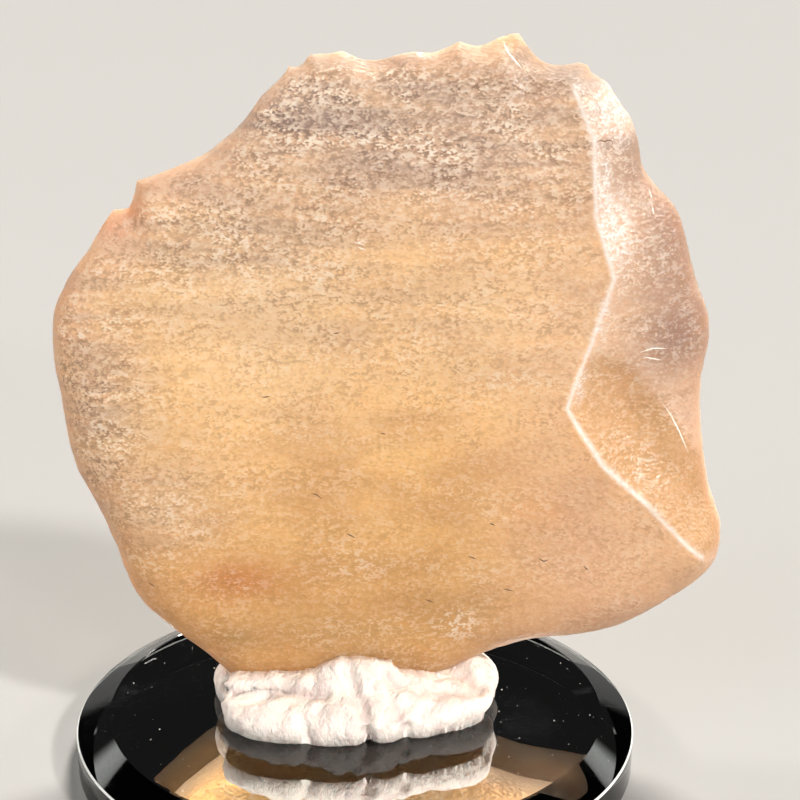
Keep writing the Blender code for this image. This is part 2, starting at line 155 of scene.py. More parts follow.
def normals_of(mesh: bpy.types.Mesh) -> np.ndarray:
    """Reads a mesh's vertex normals as an array of rows."""
    return np.array([tuple(normal.vector) for normal in mesh.vertex_normals])


def put_points(mesh: bpy.types.Mesh, points: np.ndarray) -> None:
    """Writes an array of rows back as a mesh's vertices."""
    mesh.vertices.foreach_set("co", points.astype(np.float32).ravel())
    mesh.update()


def relax(mesh: bpy.types.Mesh, rounds: int, share: float) -> None:
    """Smooths a mesh by moving each vertex towards its neighbours' mean.

    Args:
        mesh: the mesh to smooth.
        rounds: how many times.
        share: how far towards the mean, from 0 to 1.
    """
    edges = np.empty(len(mesh.edges) * 2, np.int32)
    mesh.edges.foreach_get("vertices", edges)
    first, second = edges.reshape(-1, 2).T
    points = points_of(mesh)
    count = np.bincount(np.r_[first, second], minlength=len(points))[:, None]
    for _ in range(rounds):
        total = np.zeros_like(points)
        np.add.at(total, first, points[second])
        np.add.at(total, second, points[first])
        points += share * (total / np.maximum(count, 1) - points)
    put_points(mesh, points)


def cloud(points: np.ndarray, grain: Triple, octaves: int = 1) -> np.ndarray:
    """Smooth noise at each point.

    Args:
        points: rows in metres.
        grain: the noise's size along X, Y and Z, in millimetres.
        octaves: layers of noise, each half the size and half the strength of the last.

    Returns:
        One value a point, about -1 to 1.
    """
    scaled = points / (np.array(grain) * MM)
    total = np.zeros(len(points))
    for octave in range(octaves):
        step = 2.0**octave
        total += np.array([noise.noise(Vector(row)) for row in scaled * step + LAYER_SHIFT * octave]) / step
    return total


def smooth_step(value: np.ndarray, low: float, high: float) -> np.ndarray:
    """Rises smoothly from 0 at low to 1 at high."""
    share = np.clip((value - low) / (high - low), 0.0, 1.0)
    return share * share * (3 - 2 * share)


def line_distance(points: np.ndarray, line: np.ndarray) -> np.ndarray:
    """Measures each point's distance to a line of points.

    Args:
        points: rows of two coordinates.
        line: the line's points, in order.

    Returns:
        One distance a point.
    """
    start, along = line[:-1], np.diff(line, axis=0)
    offset = points[:, None] - start[None]
    share = np.clip((offset * along).sum(2) / (along**2).sum(1), 0.0, 1.0)
    return np.linalg.norm(offset - share[..., None] * along, axis=2).min(1)


def signed_distance(points: np.ndarray, polygon: np.ndarray) -> np.ndarray:
    """Measures each point's distance to a polygon's edge, above 0 inside and below 0 outside.

    Args:
        points: rows of two coordinates.
        polygon: its corners, in order.

    Returns:
        One value a point.
    """
    within = np.zeros(len(points), bool)
    for (ax, az), (bx, bz) in zip(polygon, np.roll(polygon, -1, axis=0)):
        crosses = (az > points[:, 1]) != (bz > points[:, 1])
        rise = bz - az if bz != az else 1.0
        within ^= crosses & (points[:, 0] < (bx - ax) * (points[:, 1] - az) / rise + ax)
    closed = np.vstack((polygon, polygon[:1]))
    return np.where(within, 1.0, -1.0) * line_distance(points, closed)


def keep_values(mesh: bpy.types.Mesh, values: dict[str, np.ndarray]) -> None:
    """Keeps named values on a mesh's vertices, for its material to read.

    Args:
        mesh: the mesh that keeps them.
        values: one value a vertex under each name.
    """
    for name, value in values.items():
        layer = mesh.attributes.new(name, "FLOAT", "POINT")
        layer.data.foreach_set("value", value.astype(np.float32))


def tree_of(mesh: bpy.types.Mesh) -> BVHTree:
    """Builds a search tree over a mesh's faces.

    Args:
        mesh: the mesh to search in.

    Returns:
        The tree, in the mesh's own space.
    """
    bm = bmesh.new()
    bm.from_mesh(mesh)
    tree = BVHTree.FromBMesh(bm)
    bm.free()
    return tree


def rim_edges(bm: bmesh.types.BMesh) -> list[bmesh.types.BMEdge]:
    """Finds the edges of the stone's rim, where its front meets its back."""
    return [edge for edge in bm.edges if edge.link_faces[0].normal.y * edge.link_faces[-1].normal.y < 0]


def share_between(value: float, low: float, high: float) -> float:
    """Rises evenly from 0 at low to 1 at high."""
    return min(max((value - low) / (high - low), 0.0), 1.0)


# ---------------------------------------------------------------- shader nodes


@dataclass
class NodeSheet:
    """Writes nodes into one node tree, a call for each."""

    tree: bpy.types.NodeTree

    def add(self, kind: str, **settings: object) -> bpy.types.Node:
        """Adds a node and sets its properties.

        Args:
            kind: the node's type, such as "ShaderNodeMath".
            **settings: the node's own properties.

        Returns:
            The new node.
        """
        node = self.tree.nodes.new(kind)
        for name, value in settings.items():
            setattr(node, name, value)
        return node

    def feed(self, socket: bpy.types.NodeSocket, value: object) -> None:
        """Links a socket to another, or sets its value.

        Args:
            socket: the input.
            value: an output socket, a number, or a tuple.
        """
        if isinstance(value, bpy.types.NodeSocket):
            self.tree.links.new(value, socket)
        elif value is not None:
            socket.default_value = value

    def math(self, operation: str, first: object, second: object = None,
             clamp: bool = False) -> bpy.types.NodeSocket:
        """Adds a Math node.

        Args:
            operation: its operation.
            first: its first input.
            second: its second input, if it has one.
            clamp: whether the result is held between 0 and 1.

        Returns:
            The result's socket.
        """
        node = self.add("ShaderNodeMath", operation=operation, use_clamp=clamp)
        self.feed(node.inputs[0], first)
        self.feed(node.inputs[1], second)
        return node.outputs[0]

    def scaled(self, value: object, factor: object) -> bpy.types.NodeSocket:
        """Multiplies a value, and returns the result's socket."""
        return self.math("MULTIPLY", value, factor)

    def raised(self, value: object, factor: object, base: object) -> bpy.types.NodeSocket:
        """Multiplies a value, adds a base to it, and returns the result's socket."""
        return self.math("ADD", base, self.math("MULTIPLY", value, factor))

    def lessened(self, value: object, factor: object) -> bpy.types.NodeSocket:
        """Takes a multiple of a value from 1, and returns the result's socket."""
        return self.math("SUBTRACT", 1.0, self.math("MULTIPLY", value, factor))

    def vector_math(self, operation: str, first: object, second: object) -> bpy.types.NodeSocket:
        """Adds a Vector Math node.

        Args:
            operation: its operation.
            first: its first input.
            second: its second input.

        Returns:
            The result's socket.
        """
        node = self.add("ShaderNodeVectorMath", operation=operation)
        self.feed(node.inputs[0], first)
        self.feed(node.inputs[1], second)
        return node.outputs["Vector"]

    def mix(self, factor: object, first: object, second: object) -> bpy.types.NodeSocket:
        """Mixes two colours.

        Args:
            factor: the second colour's share.
            first: a colour or a socket.
            second: a colour or a socket.

        Returns:
            The result's socket.
        """
        node = self.add("ShaderNodeMix", data_type="RGBA")
        self.feed(node.inputs["Factor"], factor)
        for socket, value in ((node.inputs[MIX_FIRST], first), (node.inputs[MIX_SECOND], second)):
            self.feed(socket, (*value, 1.0) if isinstance(value, tuple) and len(value) == 3 else value)
        return node.outputs[MIX_RESULT]

    def noise(self, vector: object, scale: object, detail: float,
              rough: float = 0.55) -> bpy.types.NodeSocket:
        """Adds a noise texture.

        Args:
            vector: the place that it is read at.
            scale: its cells a metre.
            detail: its finer layers.
            rough: the finer layers' strength.

        Returns:
            The value's socket.
        """
        node = self.add("ShaderNodeTexNoise")
        for name, value in (("Vector", vector), ("Scale", scale), ("Detail", detail), ("Roughness", rough)):
            self.feed(node.inputs[name], value)
        return node.outputs["Fac"]

    def place(self) -> bpy.types.NodeSocket:
        """Reads the place on the object, and returns the socket."""
        return self.add("ShaderNodeTexCoord").outputs["Object"]

    def attribute(self, name: str) -> bpy.types.NodeSocket:
        """Reads a value kept on the mesh's vertices, and returns the socket."""
        return self.add("ShaderNodeAttribute", attribute_name=name).outputs["Fac"]

    def window(self, value: object, low: object, high: object) -> bpy.types.NodeSocket:
        """Maps a value smoothly from one end of a window to the other.

        Args:
            value: the value's socket.
            low: where the result is 0.
            high: where the result is 1.

        Returns:
            The result's socket.
        """
        node = self.add("ShaderNodeMapRange", interpolation_type="SMOOTHSTEP")
        self.feed(node.inputs["Value"], value)
        self.feed(node.inputs["From Min"], low)
        self.feed(node.inputs["From Max"], high)
        return node.outputs["Result"]

    def group(self, tree: bpy.types.NodeTree, **values: object) -> bpy.types.Node:
        """Places a node group.

        Args:
            tree: the group.
            **values: its inputs by name, with _ for a space.

        Returns:
            The group's node.
        """
        node = self.add("ShaderNodeGroup", node_tree=tree)
        for name, value in values.items():
            self.feed(node.inputs[name.replace("_", " ")], value)
        return node


VECTOR, FLOAT = "NodeSocketVector", "NodeSocketFloat"
GroupParts = tuple[bpy.types.NodeTree, NodeSheet, bpy.types.Node, bpy.types.Node]


def new_group(name: str, inputs: dict[str, str], outputs: dict[str, str]) -> GroupParts:
    """Makes an empty node group with named sockets.

    Args:
        name: the group's name.
        inputs: each input's name and socket type.
        outputs: each output's name and socket type.

    Returns:
        The group, its sheet, its input node and its output node.
    """
    tree = bpy.data.node_groups.new(name, "ShaderNodeTree")
    for label, kind in inputs.items():
        tree.interface.new_socket(label, in_out="INPUT", socket_type=kind)
    for label, kind in outputs.items():
        tree.interface.new_socket(label, in_out="OUTPUT", socket_type=kind)
    sheet = NodeSheet(tree)
    return tree, sheet, sheet.add("NodeGroupInput"), sheet.add("NodeGroupOutput")


EVEN: Triple = (1.0, 1.0, 1.0)
PLATE_INDEX = 1.52  # the mirror glass's index of refraction


@dataclass(frozen=True)
class WornGrain:
    """Fine worn grain: winding bright flecks and dull pores, drawn out as the stretch says."""

    fine_cells: float = 2.6  # for each coarse one
    coarse_share: float = 0.62
    coarse_rough: float = 0.6
    height_cells: float = 1.6
    middle: float = 0.5
    value_window: Window = (0.36, 0.64)
    fleck_window: Window = (0.50, 0.60)
    pore_window: Window = (0.49, 0.39)

    def build(self) -> bpy.types.NodeTree:
        """Makes the group.

        Returns:
            A group that gives the grain's value, flecks, pores and height.
        """
        tree, sheet, given, out = new_group(
            "Worn grain", {"Vector": VECTOR, "Stretch": VECTOR, "Size": FLOAT},
            {"Value": FLOAT, "Fleck": FLOAT, "Pore": FLOAT, "Height": FLOAT})
        place = sheet.vector_math("MULTIPLY", given.outputs["Vector"], given.outputs["Stretch"])
        scale = sheet.math("DIVIDE", 1.0, given.outputs["Size"])
        fine = sheet.noise(place, sheet.scaled(scale, self.fine_cells), 0.0)
        winding = sheet.scaled(sheet.math("SUBTRACT", fine, self.middle), given.outputs["Size"])
        coarse = sheet.noise(sheet.vector_math("ADD", place, winding), scale, 1.0, self.coarse_rough)
        both = sheet.raised(coarse, self.coarse_share, sheet.scaled(fine, 1 - self.coarse_share))
        sheet.feed(out.inputs["Value"], sheet.window(both, *self.value_window))
        sheet.feed(out.inputs["Fleck"], sheet.window(both, *self.fleck_window))
        sheet.feed(out.inputs["Pore"], sheet.window(both, *self.pore_window))
        sheet.feed(out.inputs["Height"], sheet.noise(place, sheet.scaled(scale, self.height_cells), 0.0))
        return tree


@dataclass(frozen=True)
class CloudyBands:
    """Cloudy bands, as long as the stretch makes them."""

    cells: float = 100.0  # a metre, before the stretch
    detail: float = 2.0
    rough: float = 0.62

    def build(self) -> bpy.types.NodeTree:
        """Makes the group.

        Returns:
            A group that gives the bands' mask.
        """
        tree, sheet, given, out = new_group(
            "Cloudy bands", {"Vector": VECTOR, "Stretch": VECTOR, "Low": FLOAT, "High": FLOAT},
            {"Mask": FLOAT})
        place = sheet.vector_math("MULTIPLY", given.outputs["Vector"], given.outputs["Stretch"])
        value = sheet.noise(place, self.cells, self.detail, self.rough)
        sheet.feed(out.inputs["Mask"], sheet.window(value, given.outputs["Low"], given.outputs["High"]))
        return tree


class Effects:
    """Node groups that more than one material uses, each built once."""

    def __init__(self) -> None:
        """Builds every group."""
        self.grain = WornGrain().build()
        self.bands = CloudyBands().build()


def new_material(name: str) -> tuple[bpy.types.Material, NodeSheet, bpy.types.Node]:
    """Makes a material with a Principled shader.

    Args:
        name: the material's name.

    Returns:
        The material, its node sheet and its shader.
    """
    material = bpy.data.materials.new(name)
    material.use_nodes = True
    return material, NodeSheet(material.node_tree), material.node_tree.nodes["Principled BSDF"]


def bump(sheet: NodeSheet, shader: bpy.types.Node, height: object, depth: float) -> None:
    """Feeds a height to a shader's normal.

    Args:
        sheet: the material's node sheet.
        shader: its shader.
        height: the height's socket, from 0 to 1.
        depth: how deep a height of 1 is, in millimetres.
    """
    node = sheet.add("ShaderNodeBump")
    node.inputs["Distance"].default_value = depth * MM
    sheet.feed(node.inputs["Height"], height)
    sheet.feed(shader.inputs["Normal"], node.outputs["Normal"])


def millimetres(place: Triple) -> Triple:
    """Turns a place in millimetres into metres."""
    return (place[0] * MM, place[1] * MM, place[2] * MM)


@dataclass(frozen=True)
class Mark:
    """A soft oval mark on the stone's front, in millimetres."""

    x: float
    z: float
    wide: float
    tall: float
    strength: float

    def strength_at(self, plan: np.ndarray) -> np.ndarray:
        """Works out how strong the mark is.

        Args:
            plan: rows of x and z in millimetres.

        Returns:
            One value a row.
        """
        across, above = (plan[:, 0] - self.x) / self.wide, (plan[:, 1] - self.z) / self.tall
        return self.strength * np.exp(-across**2 - above**2)


# The stone's marks, cracks and scratches lie on its front: x, z and sizes in millimetres.
MARKS: dict[MarkKind, tuple[Mark, ...]] = {
    MarkKind.SALMON: (
        Mark(-20.4, 48.6, 2.4, 3.6, 0.9), Mark(-14.6, 52.2, 6.0, 1.6, 0.6), Mark(-24.4, 42.0, 2.0, 6.0, 0.5),
    ),
    MarkKind.EMBER: (Mark(-19.0, 49.3, 1.6, 1.1, 1.0), Mark(-20.4, 47.8, 1.1, 0.9, 0.7)),
    MarkKind.SMOKE: (
        Mark(13.4, 62.9, 1.8, 1.1, 0.8), Mark(16.8, 61.8, 1.7, 0.9, 0.9), Mark(19.0, 60.8, 1.5, 0.7, 0.6),
        Mark(5.0, 60.8, 4.0, 0.9, 0.4), Mark(-13.8, 52.6, 2.0, 0.8, 0.5), Mark(22.0, 54.0, 2.8, 1.5, 0.45),
    ),
    MarkKind.UMBER: (
        Mark(-3.0, 62.0, 1.6, 1.0, 0.8), Mark(-1.6, 61.8, 1.6, 1.0, 0.7), Mark(1.6, 61.9, 2.4, 1.0, 0.5),
        Mark(8.8, 63.2, 2.0, 1.2, 0.6), Mark(14.9, 62.0, 1.5, 1.1, 0.9), Mark(17.4, 61.4, 1.9, 1.2, 1.0),
    ),
    MarkKind.RUST: (Mark(-10.6, 17.5, 3.8, 1.9, 0.85), Mark(15.9, 24.2, 2.4, 1.4, 0.35)),
    MarkKind.OLIVE: (
        Mark(-10.7, 11.9, 2.6, 1.3, 0.45), Mark(-3.0, 12.6, 9.0, 1.7, 0.15), Mark(-21.5, 31.0, 5.0, 3.0, 0.3),
        Mark(-16.0, 25.0, 7.0, 2.0, 0.15), Mark(9.0, 15.0, 6.0, 1.6, 0.2), Mark(23.0, 55.6, 1.0, 1.6, 0.5),
    ),
    # painted shade over the facet right of the ridge
    MarkKind.FACET_SHADE: (
        Mark(26.4, 46.5, 4.6, 8.5, 0.75), Mark(27.0, 40.0, 4.2, 4.4, 1.0), Mark(22.6, 53.5, 3.0, 3.0, 0.6),
    ),
    MarkKind.CREAM: (
        Mark(-8.9, 40.6, 12.0, 10.0, 0.75), Mark(8.0, 42.0, 11.0, 8.0, 0.45),
        Mark(-17.5, 24.0, 4.0, 3.0, 0.4),
    ),
    # frosted patches; those on the saddle, under the lower ridge and above the oval scar are painted sheen
    MarkKind.FROSTED_AND_SHEEN: (
        Mark(-0.1, 19.1, 4.6, 2.6, 0.5), Mark(9.0, 13.3, 2.3, 1.8, 0.8), Mark(0.2, 47.7, 0.7, 0.45, 1.0),
        Mark(-18.0, 25.0, 5.0, 2.4, 0.45), Mark(13.5, 36.2, 5.0, 1.3, 0.6), Mark(-17.0, 33.0, 4.0, 2.4, 0.4),
        Mark(-6.0, 55.0, 9.0, 3.0, 0.4), Mark(-16.0, 46.0, 5.0, 2.0, 0.3),
        Mark(24.2, 28.6, 2.6, 2.4, 0.55), Mark(22.0, 30.6, 2.0, 1.6, 0.45), Mark(24.5, 39.8, 4.0, 2.2, 0.25),
    ),
    MarkKind.ROUGH: (
        Mark(-5.0, 58.6, 11.0, 4.6, 1.0), Mark(4.0, 57.0, 24.0, 8.0, 0.8), Mark(-10.0, 48.0, 14.0, 7.0, 0.55),
        Mark(4.0, 42.0, 22.0, 7.0, 0.25), Mark(-22.4, 34.0, 4.6, 13.0, 0.6), Mark(-17.0, 25.0, 6.0, 5.0, 0.4),
        Mark(24.0, 46.0, 6.0, 9.0, 0.2),
    ),
}
CRACKS: tuple[Line, ...] = (
    ((19.5, 56.2), (19.8, 56.35), (20.2, 56.2), (20.5, 56.3), (20.8, 56.25), (20.95, 56.0)),
    ((-4.0, 25.6), (-3.5, 25.5), (-3.0, 25.1)), ((-0.9, 21.9), (-0.1, 21.5)),
    ((-18.3, 17.1), (-17.7, 16.8)), ((9.8, 20.0), (10.6, 19.7)), ((16.0, 19.9), (16.5, 19.6), (16.9, 19.8)),
    ((13.0, 16.9), (13.9, 16.7)), ((6.1, 15.8), (6.9, 15.5)), ((11.6, 23.2), (12.1, 23.0)),
    ((20.0, 19.3), (20.4, 18.9)), ((-8.1, 34.3), (-7.4, 34.4)), ((-2.0, 40.0), (-1.5, 40.1)),
    ((2.0, 31.2), (2.5, 31.1)),
)
SCRATCHES: tuple[Line, ...] = (
    ((24.0, 38.5), (25.2, 38.8), (26.4, 38.7)), ((24.3, 38.1), (26.0, 37.7)),
    ((26.1, 34.1), (27.0, 32.9), (27.9, 31.3), (28.9, 29.2)), ((11.7, 64.1), (12.1, 63.2), (13.3, 61.9)),
    ((-0.3, 47.8), (0.6, 47.6)), ((0.0, 47.4), (0.7, 47.2)), ((24.3, 52.1), (24.6, 51.3)),
    ((24.6, 50.7), (24.8, 50.0)),
)
CRACK_WIDTH, SCRATCH_WIDTH = 0.12, 0.085


@dataclass(frozen=True)
class DesertGlassFinish:
    """Frosted, wind-worn desert glass: honey coloured, with mauve cloudy bands and fine grain; painted white
    highlights on its ridges, painted sheen, a painted glow along its thin rim and painted shade on the facet
    right of the ridge.
    """

    effects: Effects
    honey: Colour = (0.96, 0.61, 0.25)
    cream: Colour = (1.0, 0.74, 0.41)
    tan: Colour = (0.72, 0.42, 0.17)
    rose: Colour = (0.88, 0.60, 0.45)
    haze: Colour = (0.64, 0.48, 0.38)
    mauve: Colour = (0.33, 0.27, 0.26)
    shadow: Colour = (0.19, 0.15, 0.14)
    brown: Colour = (0.40, 0.22, 0.10)
    # frost flecks of the grain, also used for the painted sheen of the frosted marks
    frost: Colour = (1.0, 0.93, 0.80)
    # the colour of the painted highlight on the ridges
    white: Colour = (1.0, 0.98, 0.96)
    # the colour of the painted glow along the thin rim
    rim: Colour = (1.0, 0.80, 0.60)
    rust: Colour = (0.57, 0.20, 0.05)
    olive: Colour = (0.30, 0.22, 0.09)
    salmon: Colour = (1.0, 0.58, 0.36)
    smoke: Colour = (0.34, 0.26, 0.20)
    # the colour of the painted shade on the facet right of the ridge
    facet_shade: Colour = (0.28, 0.155, 0.125)
    amber: Colour = (0.64, 0.35, 0.12)
    ember: Colour = (0.80, 0.34, 0.17)
    umber: Colour = (0.46, 0.30, 0.17)
    # Where the regions begin and end on the stone, by height and to the right.
    high_window: Window = (40.0, 56.0)
    low_window: Window = (36.0, 10.0)
    right_window: Window = (6.0, 22.0)
    # The grain and the bands.
    grain_stretch: Triple = (0.65, 1.0, 1.0)
    grain_size: float = 0.46
    band_stretch: Triple = (0.6, 0.9, 5.5)
    band_window: Window = (0.40, 0.62)
    # How strongly each colour shows in its region.
    amber_low: float = 0.75
    rose_high: float = 0.45
    rose_scar: float = 0.5
    amber_oval: float = 0.75
    salmon_edge: float = 0.35
    # how strongly the painted glow shows along the thin rim
    rim_glow_share: float = 0.85
    haze_rough: float = 0.75
    mauve_bands: float = 0.7
    # How strongly the grain shows.
    grain_least: float = 0.30
    grain_rough: float = 0.7
    grain_off_edge: float = 0.8
    patch_least: float = 0.6
    patch_play: float = 0.6
    pores_off_ridge: float = 0.8
    pores_least: float = 0.8
    streak_play: float = 0.4
    # Speckle, pitting and the window below shape the painted highlight on the ridges.
    speckle: float = 0.5
    pitting: float = 0.75
    highlight_window: Window = (0.1, 0.9)
    # Roughness, light and depth.
    dull_least: float = 0.30
    dull_play: float = 0.22
    dull_notch: float = 0.45
    index: float = 1.46
    see_through: float = 0.5
    glow_radius: Triple = (1.0, 0.62, 0.32)
    glow_depth: float = 2.5
    relief: float = 0.10
    depth_colour: Colour = (1.0, 0.80, 0.55)
    depth_density: float = 25.0

    def _tints(self) -> tuple[tuple[MarkKind, Colour], ...]:
        """Lists the coloured marks, in the order that they are laid on.

        Returns:
            Each mark's kind and its colour.
        """
        return (
            (MarkKind.SALMON, self.salmon), (MarkKind.EMBER, self.ember), (MarkKind.UMBER, self.umber),
            (MarkKind.SMOKE, self.smoke), (MarkKind.RUST, self.rust), (MarkKind.OLIVE, self.olive),
            (MarkKind.FACET_SHADE, self.facet_shade), (MarkKind.CREAM, self.cream),
        )

    def _body_colour(self, sheet: NodeSheet, place: bpy.types.NodeSocket) -> bpy.types.NodeSocket:
        """Mixes the glass's own colours by region.

        Args:
            sheet: the material's node sheet.
            place: the socket of the place on the stone.

        Returns:
            The colour's socket.
        """
        axes = sheet.add("ShaderNodeSeparateXYZ")
        sheet.feed(axes.inputs[0], place)
        right, _, up = axes.outputs
        high, low, far_right = (sheet.window(axis, start * MM, end * MM) for axis, (start, end) in (
            (up, self.high_window), (up, self.low_window), (right, self.right_window)))
        rosy = sheet.math("MAXIMUM", far_right, high)
        colour = sheet.mix(sheet.attribute("cloudy"), self.honey, self.tan)
        for mask, share, tint in (
            (low, self.amber_low, self.amber), (rosy, self.rose_high, self.rose),
            (sheet.attribute("scar"), self.rose_scar, self.rose),
            (sheet.attribute("oval"), self.amber_oval, self.amber),
            (sheet.attribute("edge"), self.salmon_edge, self.salmon),
            # the thin rim gets a painted glow
            (sheet.attribute("thin"), self.rim_glow_share, self.rim),
        ):
            colour = sheet.mix(sheet.scaled(mask, share), colour, tint)
        # the marks' colours, among them painted shade on the facet right of the ridge
        for kind, tint in self._tints():
            colour = sheet.mix(sheet.attribute(kind.value), colour, tint)
        return colour

    def _grained(self, sheet: NodeSheet, colour: bpy.types.NodeSocket, grain: bpy.types.Node,
                 streaks: bpy.types.NodeSocket) -> bpy.types.NodeSocket:
        """Lays bands, pores, flecks, painted sheen and painted white highlights along the ridges over the
        glass's colour.

        Args:
            sheet: the material's node sheet.
            colour: the glass's colour.
            grain: the placed grain group.
            streaks: the bands' mask.

        Returns:
            The colour's socket.
        """
        pore, fleck = grain.outputs["Pore"], grain.outputs["Fleck"]
        edge, ridge_highlight, crest_highlight, patchy = (sheet.attribute(name) for name in ("edge", "ridge_highlight", "crest_highlight", "patchy"))
        frosted_and_sheen, rough = (sheet.attribute(kind.value) for kind in (MarkKind.FROSTED_AND_SHEEN, MarkKind.ROUGH))
        colour = sheet.mix(sheet.scaled(rough, self.haze_rough), colour, self.haze)
        banded = sheet.scaled(streaks, sheet.scaled(rough, self.mauve_bands))
        colour = sheet.mix(banded, colour, self.mauve)

        strength = sheet.raised(rough, self.grain_rough, self.grain_least)
        strength = sheet.scaled(strength, sheet.lessened(edge, self.grain_off_edge))
        strength = sheet.scaled(strength, sheet.raised(patchy, self.patch_play, self.patch_least))
        on_ridge = sheet.scaled(sheet.math("MAXIMUM", ridge_highlight, crest_highlight), self.pores_off_ridge)
        pores = sheet.scaled(pore, sheet.math("SUBTRACT", strength, on_ridge, clamp=True))
        pores = sheet.scaled(pores, sheet.raised(streaks, self.streak_play, self.pores_least))
        colour = sheet.mix(pores, colour, sheet.mix(rough, self.brown, self.shadow))
        flecks = sheet.scaled(sheet.scaled(fleck, strength), sheet.lessened(streaks, self.streak_play))
        # frost flecks where the frosted marks lie, partly painted sheen
        bright = sheet.scaled(frosted_and_sheen, fleck)
        colour = sheet.mix(sheet.math("MAXIMUM", flecks, bright), colour, self.frost)
        # painted highlight on the ridges and their crests, speckled and pitted, laid on in white
        speckle = sheet.raised(fleck, self.speckle, self.speckle)
        speckle = sheet.scaled(speckle, sheet.lessened(pore, self.pitting))
        worn = sheet.scaled(sheet.window(ridge_highlight, *self.highlight_window), speckle)
        return sheet.mix(sheet.math("MAXIMUM", worn, crest_highlight), colour, self.white)

    def build(self) -> bpy.types.Material:
        """Makes the material.

        Returns:
            The stone's glass.
        """
        material, sheet, shader = new_material("desert_glass_frosted")
        place = sheet.place()
        low, high = self.band_window
        grain = sheet.group(self.effects.grain, Vector=place, Stretch=self.grain_stretch,
                            Size=self.grain_size * MM)
        bands = sheet.group(self.effects.bands, Vector=place, Stretch=self.band_stretch, Low=low, High=high)
        colour = self._grained(sheet, self._body_colour(sheet, place), grain, bands.outputs["Mask"])
        sheet.feed(shader.inputs["Base Color"], colour)
        umber, smoke = (sheet.attribute(kind.value) for kind in (MarkKind.UMBER, MarkKind.SMOKE))
        notches = sheet.math("MAXIMUM", umber, smoke)
        dull = sheet.raised(notches, self.dull_notch, self.dull_least)
        sheet.feed(shader.inputs["Roughness"], sheet.math(
            "ADD", dull, sheet.scaled(grain.outputs["Value"], self.dull_play), clamp=True))
        shader.inputs["IOR"].default_value = self.index
        shader.inputs["Transmission Weight"].default_value = self.see_through
        shader.subsurface_method = "BURLEY"
        shader.inputs["Subsurface Weight"].default_value = 1.0
        shader.inputs["Subsurface Radius"].default_value = self.glow_radius
        shader.inputs["Subsurface Scale"].default_value = self.glow_depth * MM
        bump(sheet, shader, grain.outputs["Height"], self.relief)
        volume = sheet.add("ShaderNodeVolumeAbsorption")
        volume.inputs["Color"].default_value = (*self.depth_colour, 1.0)
        volume.inputs["Density"].default_value = self.depth_density
        output = material.node_tree.nodes["Material Output"]
        sheet.feed(output.inputs["Volume"], volume.outputs["Volume"])
        return material


@dataclass(frozen=True)
class PuttyFinish:
    """Kneaded white putty: painted pink shade along its wrinkles, deeper painted shade in its creases, and
    faint pink flecks.
    """

    effects: Effects
    white: Colour = (0.80, 0.73, 0.66)
    # pink: painted shade along the wrinkles, and faint flecks
    pink: Colour = (0.66, 0.54, 0.51)
    # deep: painted shade in the carved creases
    deep: Colour = (0.50, 0.36, 0.33)
    crease_stretch: Triple = (9.0, 9.0, 5.0)
    crease_window: Window = (0.44, 0.62)
    grain_stretch: Triple = (1.4, 1.4, 0.8)
    grain_size: float = 0.5
    pink_crease_shade: float = 0.55
    pink_flecks: float = 0.2
    deep_crease_shade: float = 0.7
    roughness: float = 0.55
    roughness_play: float = 0.2
    softness: float = 0.35
    glow_radius: Triple = (1.0, 0.7, 0.6)
    glow_depth: float = 0.6
    grain_height: float = 0.5
    relief: float = 0.08

    def build(self) -> bpy.types.Material:
        """Makes the material.

        Returns:
            The putty.
        """
        material, sheet, shader = new_material("putty_kneaded")
        place = sheet.place()
        low, high = self.crease_window
        creases = sheet.group(self.effects.bands, Vector=place, Stretch=self.crease_stretch,
                              Low=low, High=high)
        grain = sheet.group(self.effects.grain, Vector=place, Stretch=self.grain_stretch,
                            Size=self.grain_size * MM)
        value, wrinkled = grain.outputs["Value"], creases.outputs["Mask"]
        # painted shade: pink along the wrinkle pattern, deeper in the carved creases; pink flecks at random
        colour = sheet.mix(sheet.scaled(wrinkled, self.pink_crease_shade), self.white, self.pink)
        colour = sheet.mix(sheet.scaled(grain.outputs["Fleck"], self.pink_flecks), colour, self.pink)
        colour = sheet.mix(sheet.scaled(sheet.attribute("crease"), self.deep_crease_shade), colour, self.deep)
        sheet.feed(shader.inputs["Base Color"], colour)
        sheet.feed(shader.inputs["Roughness"], sheet.raised(value, self.roughness_play, self.roughness))
        shader.inputs["Subsurface Weight"].default_value = self.softness
        shader.inputs["Subsurface Radius"].default_value = self.glow_radius
        shader.inputs["Subsurface Scale"].default_value = self.glow_depth * MM
        bump(sheet, shader, sheet.raised(value, self.grain_height, wrinkled), self.relief)
        return material


